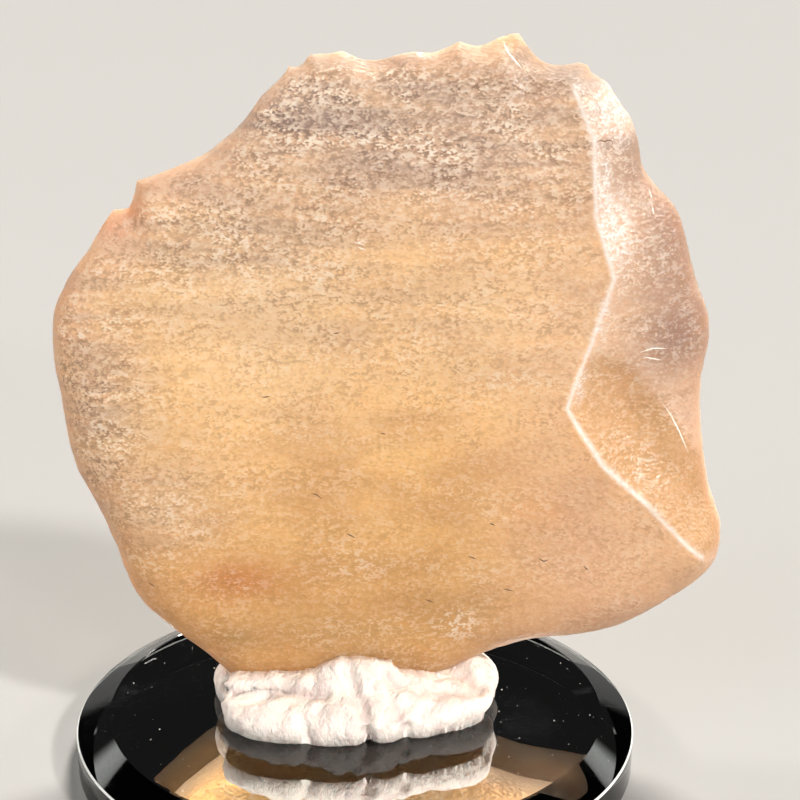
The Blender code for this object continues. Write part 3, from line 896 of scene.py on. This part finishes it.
@dataclass(frozen=True)
class MirrorGlassFinish:
    """Clear polished plate glass, faintly green, patched with faint violet as painted prism colours, with a
    few faint smears.
    """

    effects: Effects
    green: Colour = (0.95, 0.985, 0.965)
    # violet patches: painted prism colours
    violet: Colour = (0.985, 0.975, 0.99)
    prism_tint_stretch: Triple = (2.2, 2.2, 1.0)
    prism_tint_window: Window = (0.35, 0.65)
    smear_stretch: Triple = (1.2, 4.0, 1.0)
    smear_window: Window = (0.5, 0.8)
    smear_roughness: float = 0.03

    def build(self) -> bpy.types.Material:
        """Makes the material.

        Returns:
            The plate's glass.
        """
        material, sheet, shader = new_material("mirror_plate_glass")
        place = sheet.place()
        tint, smear = (
            sheet.group(self.effects.bands, Vector=place, Stretch=stretch, Low=low, High=high).outputs["Mask"]
            for stretch, (low, high) in (
                (self.prism_tint_stretch, self.prism_tint_window), (self.smear_stretch, self.smear_window)))
        # faint green glass patched with violet as painted prism colours
        sheet.feed(shader.inputs["Base Color"], sheet.mix(tint, self.green, self.violet))
        sheet.feed(shader.inputs["Roughness"], sheet.scaled(smear, self.smear_roughness))
        shader.inputs["IOR"].default_value = PLATE_INDEX
        shader.inputs["Transmission Weight"].default_value = 1.0
        return material


@dataclass(frozen=True)
class SilveringFinish:
    """The bright silver layer under the glass."""

    effects: Effects
    bright: Colour = (0.94, 0.95, 0.94)
    dull: Colour = (0.90, 0.91, 0.90)
    haze_window: Window = (0.4, 0.7)
    haze_roughness: float = 0.03

    def build(self) -> bpy.types.Material:
        """Makes the material.

        Returns:
            The silvering.
        """
        material, sheet, shader = new_material("mirror_silver")
        low, high = self.haze_window
        haze = sheet.group(self.effects.bands, Vector=sheet.place(), Stretch=EVEN, Low=low, High=high)
        sheet.feed(shader.inputs["Base Color"], sheet.mix(haze.outputs["Mask"], self.bright, self.dull))
        sheet.feed(shader.inputs["Roughness"], sheet.scaled(haze.outputs["Mask"], self.haze_roughness))
        shader.inputs["Metallic"].default_value = 1.0
        return material


@dataclass(frozen=True)
class GrainyFinish:
    """A dull finish whose colour and roughness follow a fine grain."""

    effects: Effects
    name: str
    dark: Colour
    light: Colour
    grain_size: float
    roughness: float
    roughness_play: float = 0.2
    index: float = 1.5
    relief: float = 0.0

    def build(self) -> bpy.types.Material:
        """Makes the material.

        Returns:
            The finish, under its own name.
        """
        material, sheet, shader = new_material(self.name)
        grain = sheet.group(self.effects.grain, Vector=sheet.place(), Stretch=EVEN, Size=self.grain_size * MM)
        value = grain.outputs["Value"]
        sheet.feed(shader.inputs["Base Color"], sheet.mix(value, self.dark, self.light))
        sheet.feed(shader.inputs["Roughness"], sheet.raised(value, self.roughness_play, self.roughness))
        shader.inputs["IOR"].default_value = self.index
        if self.relief:
            bump(sheet, shader, value, self.relief)
        return material


@dataclass(frozen=True)
class GroundEdgeFinish(GrainyFinish):
    """The finely ground arris of the plate, whitish where it scatters light."""

    name: str = "mirror_ground_edge"
    dark: Colour = (0.62, 0.64, 0.62)
    light: Colour = (0.88, 0.89, 0.86)
    grain_size: float = 0.3
    roughness: float = 0.35
    index: float = PLATE_INDEX


@dataclass(frozen=True)
class BackingPaintFinish(GrainyFinish):
    """Grey protective paint on the underside of the silvering."""

    name: str = "mirror_backing_paint"
    dark: Colour = (0.20, 0.21, 0.22)
    light: Colour = (0.27, 0.28, 0.29)
    grain_size: float = 1.2
    roughness: float = 0.5
    relief: float = 0.03


@dataclass(frozen=True)
class DustFinish(GrainyFinish):
    """Pale dust on the glass."""

    name: str = "dust_flecks"
    dark: Colour = (0.62, 0.58, 0.52)
    light: Colour = (0.86, 0.84, 0.80)
    grain_size: float = 0.4
    roughness: float = 0.7


@dataclass(frozen=True)
class CrackFinish(GrainyFinish):
    """The dark inside of a short crack."""

    name: str = "skin_cracks"
    dark: Colour = (0.16, 0.09, 0.05)
    light: Colour = (0.30, 0.18, 0.10)
    grain_size: float = 0.3
    roughness: float = 0.45


@dataclass(frozen=True)
class ScratchFinish(GrainyFinish):
    """The whitened glass along a scratch."""

    name: str = "skin_scratches"
    dark: Colour = (1.0, 0.90, 0.80)
    light: Colour = (1.0, 0.97, 0.92)
    grain_size: float = 0.3
    roughness: float = 0.45


# ---------------------------------------------------------------- the object's pieces


@dataclass
class GlassFlake:
    """The stone: the CAD flake made fine, with its sharp ridges kept and its skin worn."""

    effects: Effects
    levels: int = 2
    # Edges and the rim's corners are creased between these turns, in degrees.
    crease_from: float = 30.0
    crease_to: float = 62.0
    most_crease: float = 0.85
    corner_from: float = 18.0
    corner_to: float = 45.0
    wave_size: Triple = (5.0, 5.0, 3.4)
    wave_depth: float = 0.10
    skin_size: Triple = (1.5, 1.2, 0.9)
    skin_depth: float = 0.035
    upper_ridge: Line = (
        (17.6, 60.2), (19.3, 56.3), (19.7, 50.2), (21.4, 45.0), (19.7, 39.6), (17.8, 34.0),
    )
    lower_ridge: Line = ((17.8, 34.0), (21.1, 28.9), (24.8, 25.6), (28.4, 22.0), (30.3, 20.3))
    oval_arc: Line = ((19.3, 38.3), (20.9, 38.6), (22.8, 37.8), (26.6, 33.4), (29.4, 29.4))
    beyond: float = 40.0
    above: float = 70.0
    ridge_root: float = 16.0
    # The painted highlight on the ridges: a thin crest line, a sheen that fades from it, and brighter
    # patches.
    crest_width: float = 0.2
    crest_strength: float = 0.85
    crest_fade: float = 0.4
    sheen_width: float = 1.5
    sheen_strength: float = 0.7
    highlight_patches: tuple[Mark, ...] = (
        Mark(20.9, 58.6, 2.4, 3.0, 1.0), Mark(20.2, 52.6, 0.8, 2.6, 1.0), Mark(21.0, 48.6, 2.0, 4.0, 1.0),
        Mark(20.2, 43.5, 1.1, 3.8, 1.0), Mark(18.4, 37.0, 1.3, 2.8, 1.0),
    )
    mask_blur: float = 0.6
    cloud_size: Triple = (8.0, 12.0, 3.2)
    cloud_reach: float = 0.45
    patch_size: Triple = (4.6, 9.0, 2.2)
    patch_reach: float = 0.4
    noise_layers: int = 3
    relief_layers: int = 2
    glow_width: Window = (0.05, 0.6)
    band_width: Window = (0.3, 1.4)
    front_window: Window = (0.1, -0.3)
    facing_window: Window = (0.6, 0.1)

    def _mesh(self) -> bpy.types.Mesh:
        """Copies the CAD flake and marks its sharp edges and corners for the subdivision.

        Returns:
            The mesh, with its creases set.
        """
        mesh = cad_mesh(STONE_NODE)
        bm = bmesh.new()
        bm.from_mesh(mesh)
        crease = bm.edges.layers.float.new("crease_edge")
        for edge in bm.edges:
            turn = math.degrees(edge.calc_face_angle(0.0))
            edge[crease] = self.most_crease * share_between(turn, self.crease_from, self.crease_to)
        corner = bm.verts.layers.float.new("crease_vert")
        runs: dict[bmesh.types.BMVert, list[Vector]] = {}
        for edge in rim_edges(bm):
            for vert in edge.verts:
                away = (edge.other_vert(vert).co - vert.co).xz
                runs.setdefault(vert, []).append(away)
        for vert, ways in runs.items():
            if len(ways) == 2 and min(way.length for way in ways) > 0:
                bend = 180 - math.degrees(ways[0].angle(ways[1]))
                vert[corner] = share_between(bend, self.corner_from, self.corner_to)
        bm.to_mesh(mesh)
        bm.free()
        return mesh

    def _rim_distance(self, plan: np.ndarray) -> np.ndarray:
        """Measures how far each vertex is from the stone's rim.

        Args:
            plan: each vertex's x and z in millimetres.

        Returns:
            One distance a vertex, in millimetres.
        """
        bm = bmesh.new()
        bm.from_mesh(cad_mesh(STONE_NODE))
        rim = np.array([[(vert.co.x / MM, vert.co.z / MM) for vert in edge.verts] for edge in rim_edges(bm)])
        bm.free()
        nearest = np.full(len(plan), np.inf)
        for ends in rim:
            nearest = np.minimum(nearest, line_distance(plan, ends))
        return nearest

    def _ridge_masks(self, plan: np.ndarray) -> dict[str, np.ndarray]:
        """Works out the ridges' painted highlight masks, a thin crest line and a broader sheen with brighter
        patches, and the masks of the scars to their right.

        Args:
            plan: each vertex's x and z in millimetres.

        Returns:
            The masks by name.
        """
        upper, lower, arc = (np.array(line) for line in (self.upper_ridge, self.lower_ridge, self.oval_arc))
        whole = np.vstack((upper, lower[1:]))
        rest = np.array(((self.beyond, 0.0), (self.beyond, self.above), (self.ridge_root, self.above)))
        right = signed_distance(plan, np.vstack((whole, rest)))
        beyond_arc = np.array(((self.beyond, lower[-1, 1]), (self.beyond, arc[-1, 1])))
        under_arc = np.vstack((upper[upper[:, 1] < arc[0, 1]], lower[1:], beyond_arc, arc[::-1]))
        oval = signed_distance(plan, under_arc)
        off_crest = line_distance(plan, whole)
        # painted highlight: a sheen that fades away from the ridges, with brighter patches
        sheen = np.exp(-off_crest / self.sheen_width) * smooth_step(plan[:, 1], lower[0, 1], upper[2, 1])
        ridge_highlight = self.sheen_strength * sheen
        for patch in self.highlight_patches:
            ridge_highlight = np.maximum(ridge_highlight, patch.strength_at(plan))
        return {
            # crest and ridge hold the painted highlight; scar and oval mark the scars
            "crest_highlight": self.crest_strength * np.exp(-((off_crest / self.crest_width) ** 2)),
            "ridge_highlight": ridge_highlight * smooth_step(right, -self.crest_width - self.crest_fade, 0.0),
            "scar": smooth_step(right, -self.mask_blur, self.mask_blur),
            "oval": smooth_step(oval, -self.mask_blur, self.mask_blur),
        }

    def _masks(self, mesh: bpy.types.Mesh) -> None:
        """Keeps on the vertices the thin rim for its painted glow, the clouds, the ridges' painted
        highlights, the scars and the marks.

        Args:
            mesh: the fine mesh, before its skin is worn.
        """
        points, normals = points_of(mesh), normals_of(mesh)
        plan = points[:, (0, 2)] / MM
        front = smooth_step(normals[:, 1], *self.front_window)
        facing = smooth_step(normals[:, 1], *self.facing_window)
        inward = self._rim_distance(plan)
        values = {
            # thin: where the painted rim glow goes
            "thin": 1 - smooth_step(inward, *self.glow_width),
            "edge": 1 - smooth_step(inward, *self.band_width),
        }
        for name, size, reach in (
            ("cloudy", self.cloud_size, self.cloud_reach), ("patchy", self.patch_size, self.patch_reach),
        ):
            values[name] = smooth_step(cloud(points, size, self.noise_layers), -reach, reach)
        for name, mask in self._ridge_masks(plan).items():
            values[name] = mask * front
        for kind, marks in MARKS.items():
            values[kind.value] = np.max([mark.strength_at(plan) for mark in marks], axis=0) * facing
        keep_values(mesh, values)

    def build(self) -> bpy.types.Object:
        """Makes the dressed flake.

        Returns:
            The piece.
        """
        piece = link("glass_flake", self._mesh())
        fine = piece.modifiers.new("Fine", "SUBSURF")
        fine.levels = self.levels
        fine.render_levels = self.levels
        apply_modifiers(piece)
        mesh = piece.data
        self._masks(mesh)
        points, normals = points_of(mesh), normals_of(mesh)
        relief = self.wave_depth * cloud(points, self.wave_size, self.relief_layers)
        relief += self.skin_depth * cloud(points, self.skin_size, self.relief_layers)
        put_points(mesh, points + normals * relief[:, None] * MM)
        mesh.shade_smooth()
        mesh.materials.append(DesertGlassFinish(self.effects).build())
        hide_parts(STONE_NODE)
        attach(piece, BODY)
        return piece


@dataclass
class SurfaceStrokes:
    """Short thin marks on the stone's front, as tapered ribbons that follow its skin."""

    finish: GrainyFinish
    stone: BVHTree
    strokes: tuple[Line, ...]
    width: float
    step: float = 0.12
    tip: float = 0.15
    lift: float = 0.012
    ahead: float = 40.0

    def _on_skin(self, x: float, z: float) -> Vector | None:
        """Finds the place on the skin, just above the glass.

        Args:
            x: how far to the right, in millimetres.
            z: how high, in millimetres.

        Returns:
            The place in metres, or None beside the stone.
        """
        start = Vector(millimetres((x, -self.ahead, z)))
        place, normal, _, _ = self.stone.ray_cast(start, Vector((0.0, 1.0, 0.0)))
        return None if place is None else place + normal * self.lift * MM

    def _ribbon(self, bm: bmesh.types.BMesh, line: np.ndarray) -> None:
        """Lays one ribbon along a line.

        Args:
            bm: the mesh that receives it.
            line: rows of (x, z) in millimetres.
        """
        runs = np.concatenate(([0.0], np.cumsum(np.linalg.norm(np.diff(line, axis=0), axis=1))))
        at = np.linspace(0, runs[-1], max(int(runs[-1] / self.step), 3))
        xs, zs = (np.interp(at, runs, line[:, k]) for k in (0, 1))
        last = None
        for k, share in enumerate(at / runs[-1]):
            ahead, behind = min(k + 1, len(at) - 1), max(k - 1, 0)
            along = np.array((xs[ahead] - xs[behind], zs[ahead] - zs[behind]))
            across = np.array((-along[1], along[0])) / np.linalg.norm(along)
            half = across * self.width / 2 * (self.tip + (1 - self.tip) * math.sin(math.pi * share))
            sides = [self._on_skin(xs[k] + sign * half[0], zs[k] + sign * half[1]) for sign in (1, -1)]
            pair = [bm.verts.new(side) for side in sides] if None not in sides else None
            if last and pair:
                bm.faces.new((last[0], last[1], pair[1], pair[0]))
            last = pair

    def build(self) -> bpy.types.Object:
        """Makes every ribbon, as one joined mesh.

        Returns:
            The piece.
        """
        bm = bmesh.new()
        for stroke in self.strokes:
            self._ribbon(bm, np.array(stroke))
        mesh = bpy.data.meshes.new(self.finish.name)
        bm.to_mesh(mesh)
        bm.free()
        mesh.materials.append(self.finish.build())
        piece = link(self.finish.name, mesh)
        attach(piece, BODY)
        return piece


@dataclass
class PuttyLump:
    """The putty: the CAD lump made fine, pressed against the stone and the mirror, and wrinkled."""

    effects: Effects
    stone: BVHTree
    voxel: float = 0.24
    press: float = 0.75
    touch: float = 0.015
    fold_size: Triple = (2.6, 2.6, 1.5)
    fold_depth: float = 0.16
    wrinkle_size: Triple = (0.9, 0.9, 1.6)
    wrinkle_depth: float = 0.07
    wrinkle_level: float = 0.5
    noise_layers: int = 2
    relax_rounds: int = 3
    relax_share: float = 0.5
    search: float = 4.0  # times the press
    slant: float = 0.306
    front: float = 7.5
    crease_width: float = 0.42
    lip_height: float = 0.3
    lip_place: float = 2.2
    front_window: Window = (0.3, -0.2)
    # Each crease has its depth, and its line of (x, z) as seen from the front.
    creases: tuple[tuple[float, Line], ...] = (
        (0.4, ((-0.6, 12.2), (-0.5, 10.2), (0.2, 8.3), (1.1, 6.5), (1.3, 4.6))),
        (0.8, ((-11.6, 8.2), (-8.2, 8.5), (-5.7, 8.7), (-2.7, 8.5))),
        (0.25, ((0.2, 11.5), (3.9, 9.3), (7.1, 8.6), (10.1, 8.4))),
        (0.3, ((7.6, 9.6), (5.3, 8.1), (1.9, 4.8))),
        (0.25, ((-2.5, 11.6), (-5.7, 9.8), (-8.4, 7.4))),
        (0.65, ((3.8, 11.4), (7.6, 10.0), (10.1, 9.6), (11.2, 8.5))),
        (0.22, ((-3.5, 9.5), (-4.5, 7.0), (-4.0, 5.2))),
        (0.22, ((3.0, 10.0), (3.6, 7.5), (4.5, 5.6))),
    )

    def _creased(self, points: np.ndarray, normals: np.ndarray) -> np.ndarray:
        """Measures the creases in the front, as seen from a little above.

        Args:
            points: rows in metres.
            normals: the skin's normals there.

        Returns:
            One depth a point, in millimetres.
        """
        places = points / MM
        plan = np.column_stack((places[:, 0], places[:, 2] + self.slant * (places[:, 1] + self.front)))
        depth = np.zeros(len(points))
        for most, line in self.creases:
            away = line_distance(plan, np.array(line)) / self.crease_width
            lip = self.lip_height * np.exp(-((away - self.lip_place) ** 2))
            depth += most * (np.exp(-(away**2)) - lip)
        return depth * smooth_step(normals[:, 1], *self.front_window)

    def _wrinkled(self, points: np.ndarray, normals: np.ndarray, creases: np.ndarray) -> np.ndarray:
        """Moves points by creases, soft folds and sharp little wrinkles.

        Args:
            points: rows in metres.
            normals: the skin's normals there.
            creases: the creases' depths there, in millimetres.

        Returns:
            The moved points.
        """
        folds = cloud(points, self.fold_size, self.noise_layers)
        wrinkles = self.wrinkle_level - np.abs(cloud(points, self.wrinkle_size, self.noise_layers))
        relief = self.fold_depth * folds + self.wrinkle_depth * wrinkles - creases
        return points + normals * relief[:, None] * MM

    def _pressed(self, points: np.ndarray, floor: float) -> np.ndarray:
        """Presses points that are near the stone or the mirror against them.

        Args:
            points: rows in metres, which are changed.
            floor: the height of the mirror's top, in metres.

        Returns:
            The same points.
        """
        reach = self.press * MM
        for row in points:
            near, normal, _, away = self.stone.find_nearest(Vector(row), self.search * reach)
            if near is None:
                continue
            within = (Vector(row) - near).dot(normal) < 0
            if within or away < reach:
                row[:] = near + normal * self.touch * MM
        low = points[:, 2] < floor + reach
        points[low, 2] = floor + self.touch * MM
        return points

    def build(self) -> bpy.types.Object:
        """Makes the dressed putty.

        Returns:
            The piece.
        """
        piece = link("putty_lump", cad_mesh(PUTTY_NODE))
        even = piece.modifiers.new("Even", "REMESH")
        even.mode = "VOXEL"
        even.voxel_size = self.voxel * MM
        apply_modifiers(piece)
        mesh = piece.data
        relax(mesh, self.relax_rounds, self.relax_share)
        points, normals = points_of(mesh), normals_of(mesh)
        creases = self._creased(points, normals)
        points = self._wrinkled(points, normals, creases)
        # the creases' depths, which the putty's material darkens as painted shade
        keep_values(mesh, {"crease": np.clip(creases, 0.0, 1.0)})
        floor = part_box(MIRROR_NODE)[1][2]
        put_points(mesh, self._pressed(points, floor))
        mesh.shade_smooth()
        mesh.materials.clear()
        mesh.materials.append(PuttyFinish(self.effects).build())
        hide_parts(PUTTY_NODE)
        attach(piece, BODY)
        return piece


@dataclass
class BevelledMirror:
    """The mirror: a ground and polished glass plate over its silver and paint, with dust on it."""

    effects: Effects
    wall: float = 3.2
    bevel: float = 3.1
    arris: float = 0.12
    paint: float = 0.12
    overlap: float = 0.03
    inset: float = 0.25
    segments: int = 256
    facet_turn: float = 4.0  # degrees
    up_facing: float = 0.9
    flecks: int = 110
    fleck_size: tuple[float, float] = (0.03, 0.09)
    fleck_stretch: tuple[float, float] = (0.6, 1.2)
    fleck_corners: int = 5
    fleck_turn: float = math.pi / 2.5
    fleck_peak: float = 0.6
    fleck_lift: float = 0.01
    clear_middle: float = 0.2
    seed: int = 11

    def __post_init__(self) -> None:
        """Reads the disc's radius and thickness from the frame."""
        low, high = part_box(MIRROR_NODE)
        self.radius = (high[0] - low[0]) / 2 / MM
        self.thickness = (high[2] - low[2]) / MM

    def _turned(self, name: str, profile: list[tuple[float, float]]) -> bpy.types.Object:
        """Turns a profile of (radius, height) points about the Z axis and closes its ends.

        Args:
            name: the piece's name.
            profile: points from the bottom's edge to the top's.

        Returns:
            The new object.
        """
        bm = bmesh.new()
        turns = [2 * math.pi * k / self.segments for k in range(self.segments)]
        ways = [(math.cos(turn), math.sin(turn)) for turn in turns]
        rings = [[bm.verts.new(millimetres((radius * x, radius * y, height))) for x, y in ways]
                 for radius, height in profile]
        for lower, upper in zip(rings, rings[1:]):
            for k in range(self.segments):
                after = (k + 1) % self.segments
                bm.faces.new((lower[k], lower[after], upper[after], upper[k]))
        bm.faces.new(rings[0][::-1])
        bm.faces.new(rings[-1])
        mesh = bpy.data.meshes.new(name)
        bm.to_mesh(mesh)
        bm.free()
        mesh.shade_smooth()
        mesh.set_sharp_from_angle(angle=math.radians(self.facet_turn))
        return link(name, mesh)

    def _plate(self) -> bpy.types.Object:
        """Makes the glass plate, with fine arrises on its edges.

        Returns:
            The piece, with its bevel's outer arris ground.
        """
        radius, small = self.radius, self.arris
        flat = radius - self.bevel
        slope = (self.thickness - self.wall) / self.bevel
        profile = [
            (radius - small, self.paint - self.overlap), (radius, self.paint - self.overlap + small),
            (radius, self.wall - small), (radius - small, self.wall + slope * small),
            (flat + small, self.thickness - slope * small), (flat - small, self.thickness),
        ]
        plate = self._turned("mirror_plate", profile)
        plate.data.materials.append(MirrorGlassFinish(self.effects).build())
        plate.data.materials.append(GroundEdgeFinish(self.effects).build())
        band = (self.wall - 2 * small) * MM, (self.wall + 2 * small) * MM
        for face in plate.data.polygons:
            outer = math.hypot(face.center.x, face.center.y) > (radius - small) * MM
            if outer and band[0] < face.center.z < band[1]:
                face.material_index = 1
        return plate

    def _backing(self) -> bpy.types.Object:
        """Makes the silver, which faces up into the glass, and the paint under it.

        Returns:
            The piece.
        """
        radius = self.radius - self.inset
        backing = self._turned("mirror_backing", [(radius, 0.0), (radius, self.paint)])
        backing.data.materials.append(BackingPaintFinish(self.effects).build())
        backing.data.materials.append(SilveringFinish(self.effects).build())
        for face in backing.data.polygons:
            if face.normal.z > self.up_facing:
                face.material_index = 1
        return backing

    def _dust(self) -> bpy.types.Object:
        """Makes the dust flecks that lie on the glass, as one joined mesh.

        Returns:
            The piece.
        """
        rng = np.random.default_rng(self.seed)
        bm = bmesh.new()
        top = self.thickness + self.fleck_lift
        flat = self.radius - self.bevel
        for _ in range(self.flecks):
            turn, reach = rng.uniform(0, 2 * math.pi), flat * math.sqrt(rng.uniform(self.clear_middle, 1))
            x, y = reach * math.cos(turn), reach * math.sin(turn)
            size = rng.uniform(*self.fleck_size)
            start = rng.uniform(0, math.pi)
            base = []
            for k in range(self.fleck_corners):
                angle = start + k * self.fleck_turn
                across = size * rng.uniform(*self.fleck_stretch) * math.cos(angle)
                along = size * rng.uniform(*self.fleck_stretch) * math.sin(angle)
                base.append(bm.verts.new(millimetres((x + across, y + along, top))))
            peak = bm.verts.new(millimetres((x, y, top + self.fleck_peak * size)))
            bm.faces.new(base[::-1])
            for a, b in zip(base, base[1:] + base[:1]):
                bm.faces.new((a, b, peak))
        mesh = bpy.data.meshes.new("mirror_dust")
        bm.to_mesh(mesh)
        bm.free()
        mesh.materials.append(DustFinish(self.effects).build())
        return link("mirror_dust", mesh)

    def build(self) -> list[bpy.types.Object]:
        """Makes the plate, its backing and the dust.

        Returns:
            The three pieces.
        """
        plate, backing, dust = self._plate(), self._backing(), self._dust()
        for piece in (plate, backing):
            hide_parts(MIRROR_NODE)
        for piece in (plate, backing, dust):
            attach(piece, BODY)
        return [plate, backing, dust]


# ---------------------------------------------------------------- studio


@dataclass(frozen=True)
class Light:
    """A distant soft light, by the direction that it comes from.

    The turn is from the front towards the right, the rise is above level and the spread is across
    the light, all in degrees.
    """

    name: str
    turn: float
    rise: float
    spread: float
    strength: float
    colour: Colour
    in_glass: bool = True
    glints: bool = True


@dataclass
class Studio:
    """Floor, lights and camera."""

    floor_size: float = 12.0  # metres
    floor_drop: float = 0.05
    floor_roughness: float = 0.7
    floor_colour: Colour = (0.27, 0.267, 0.26)
    aim: Triple = (3.67, 0.0, 33.4)
    camera_distance: float = 139.3
    camera_elevation: float = 17.0
    camera_roll: float = 0.75
    lens: float = 72.0
    sensor: float = 36.0
    backdrop: Colour = (0.34, 0.335, 0.325)
    dark: Colour = (0.008, 0.008, 0.008)
    backdrop_edge: Window = (0.18, 0.26)
    clip: tuple[float, float] = (0.005, 20.0)  # metres
    lights: tuple[Light, ...] = (
        Light("main_light", 48.0, 38.0, 6.0, 3.6, (1.0, 0.97, 0.93)),
        Light("back_light", 162.0, 56.0, 14.0, 6.4, (1.0, 0.96, 0.90), glints=False),
        Light("side_light", 102.0, 24.0, 8.0, 1.0, (1.0, 0.92, 0.88)),
        Light("sheen_light", 27.0, 22.0, 7.0, 0.8, (1.0, 0.95, 0.93)),
        Light("rim_light", -112.0, 30.0, 10.0, 1.4, (1.0, 0.93, 0.86), in_glass=False, glints=False),
        Light("fill_light", -46.0, 32.0, 40.0, 1.05, (0.94, 0.97, 1.0)),
    )

    def _floor(self) -> None:
        """Makes the plain pale floor."""
        bm = bmesh.new()
        bmesh.ops.create_grid(bm, x_segments=1, y_segments=1, size=self.floor_size / 2)
        mesh = bpy.data.meshes.new("floor")
        bm.to_mesh(mesh)
        bm.free()
        floor = link("floor", mesh)
        floor.location.z = -self.floor_drop * MM
        material, _, shader = new_material("pale_floor")
        shader.inputs["Base Color"].default_value = (*self.floor_colour, 1.0)
        shader.inputs["Roughness"].default_value = self.floor_roughness
        mesh.materials.append(material)

    def _lights(self) -> None:
        """Makes the distant lights, each turned to come from its direction."""
        for given in self.lights:
            light = bpy.data.lights.new(given.name, "SUN")
            light.energy = given.strength
            light.angle = math.radians(given.spread)
            light.color = given.colour
            turn, rise = math.radians(given.turn), math.radians(given.rise)
            level = math.cos(rise)
            source = Vector((math.sin(turn) * level, -math.cos(turn) * level, math.sin(rise)))
            holder = bpy.data.objects.new(given.name, light)
            holder.rotation_euler = (-source).to_track_quat("-Z", "Y").to_euler()
            holder.visible_transmission = given.in_glass
            holder.visible_glossy = given.glints
            bpy.context.scene.collection.objects.link(holder)

    def _world(self) -> None:
        """Makes the dark room, with a pale backdrop above the floor's far end."""
        world = bpy.data.worlds.new("studio")
        world.use_nodes = True
        sheet = NodeSheet(world.node_tree)
        axes = sheet.add("ShaderNodeSeparateXYZ")
        sheet.feed(axes.inputs[0], sheet.add("ShaderNodeTexCoord").outputs["Generated"])
        height = sheet.window(axes.outputs["Z"], *self.backdrop_edge)
        colour = sheet.mix(height, self.backdrop, self.dark)
        sheet.feed(world.node_tree.nodes["Background"].inputs["Color"], colour)
        bpy.context.scene.world = world

    def _camera(self) -> None:
        """Makes the camera, at its angle above the table, turned by a slight roll."""
        rise, roll = math.radians(self.camera_elevation), math.radians(self.camera_roll)
        ahead = Vector((0.0, math.cos(rise), -math.sin(rise)))
        across, above = Vector((1.0, 0.0, 0.0)), Vector((0.0, math.sin(rise), math.cos(rise)))
        right = across * math.cos(roll) + above * math.sin(roll)
        upward = above * math.cos(roll) - across * math.sin(roll)
        camera = bpy.data.cameras.new("camera")
        camera.lens, camera.sensor_width = self.lens, self.sensor
        camera.clip_start, camera.clip_end = self.clip
        holder = bpy.data.objects.new("camera", camera)
        place = Vector(millimetres(self.aim)) - ahead * self.camera_distance * MM
        turn = Matrix((right, upward, -ahead)).transposed()
        holder.matrix_world = Matrix.Translation(place) @ turn.to_4x4()
        bpy.context.scene.collection.objects.link(holder)
        bpy.context.scene.camera = holder

    def build(self) -> None:
        """Sets up the whole studio."""
        self._floor()
        self._lights()
        self._world()
        self._camera()


def main() -> None:
    """Builds the stone, its putty and its mirror, and the studio around them."""
    logging.basicConfig(level=logging.INFO, format="%(name)s: %(message)s")
    scene = bpy.context.scene
    scene.view_settings.view_transform = "Standard"
    scene.cycles.max_bounces = 5
    scene.cycles.transmission_bounces = 4
    scene.cycles.adaptive_threshold = 0.05
    effects = Effects()
    flake = GlassFlake(effects).build()
    LOG.info("%s has %d faces", flake.name, len(flake.data.polygons))
    skin = tree_of(flake.data)
    cracks = SurfaceStrokes(CrackFinish(effects), skin, CRACKS, CRACK_WIDTH)
    scratches = SurfaceStrokes(ScratchFinish(effects), skin, SCRATCHES, SCRATCH_WIDTH)
    for strokes in (cracks, scratches):
        marks = strokes.build()
        LOG.info("%s has %d faces", marks.name, len(marks.data.polygons))
    putty = PuttyLump(effects, skin).build()
    LOG.info("%s has %d faces", putty.name, len(putty.data.polygons))
    for piece in BevelledMirror(effects).build():
        LOG.info("%s has %d faces", piece.name, len(piece.data.polygons))
    Studio().build()


if __name__ == "__main__":
    main()
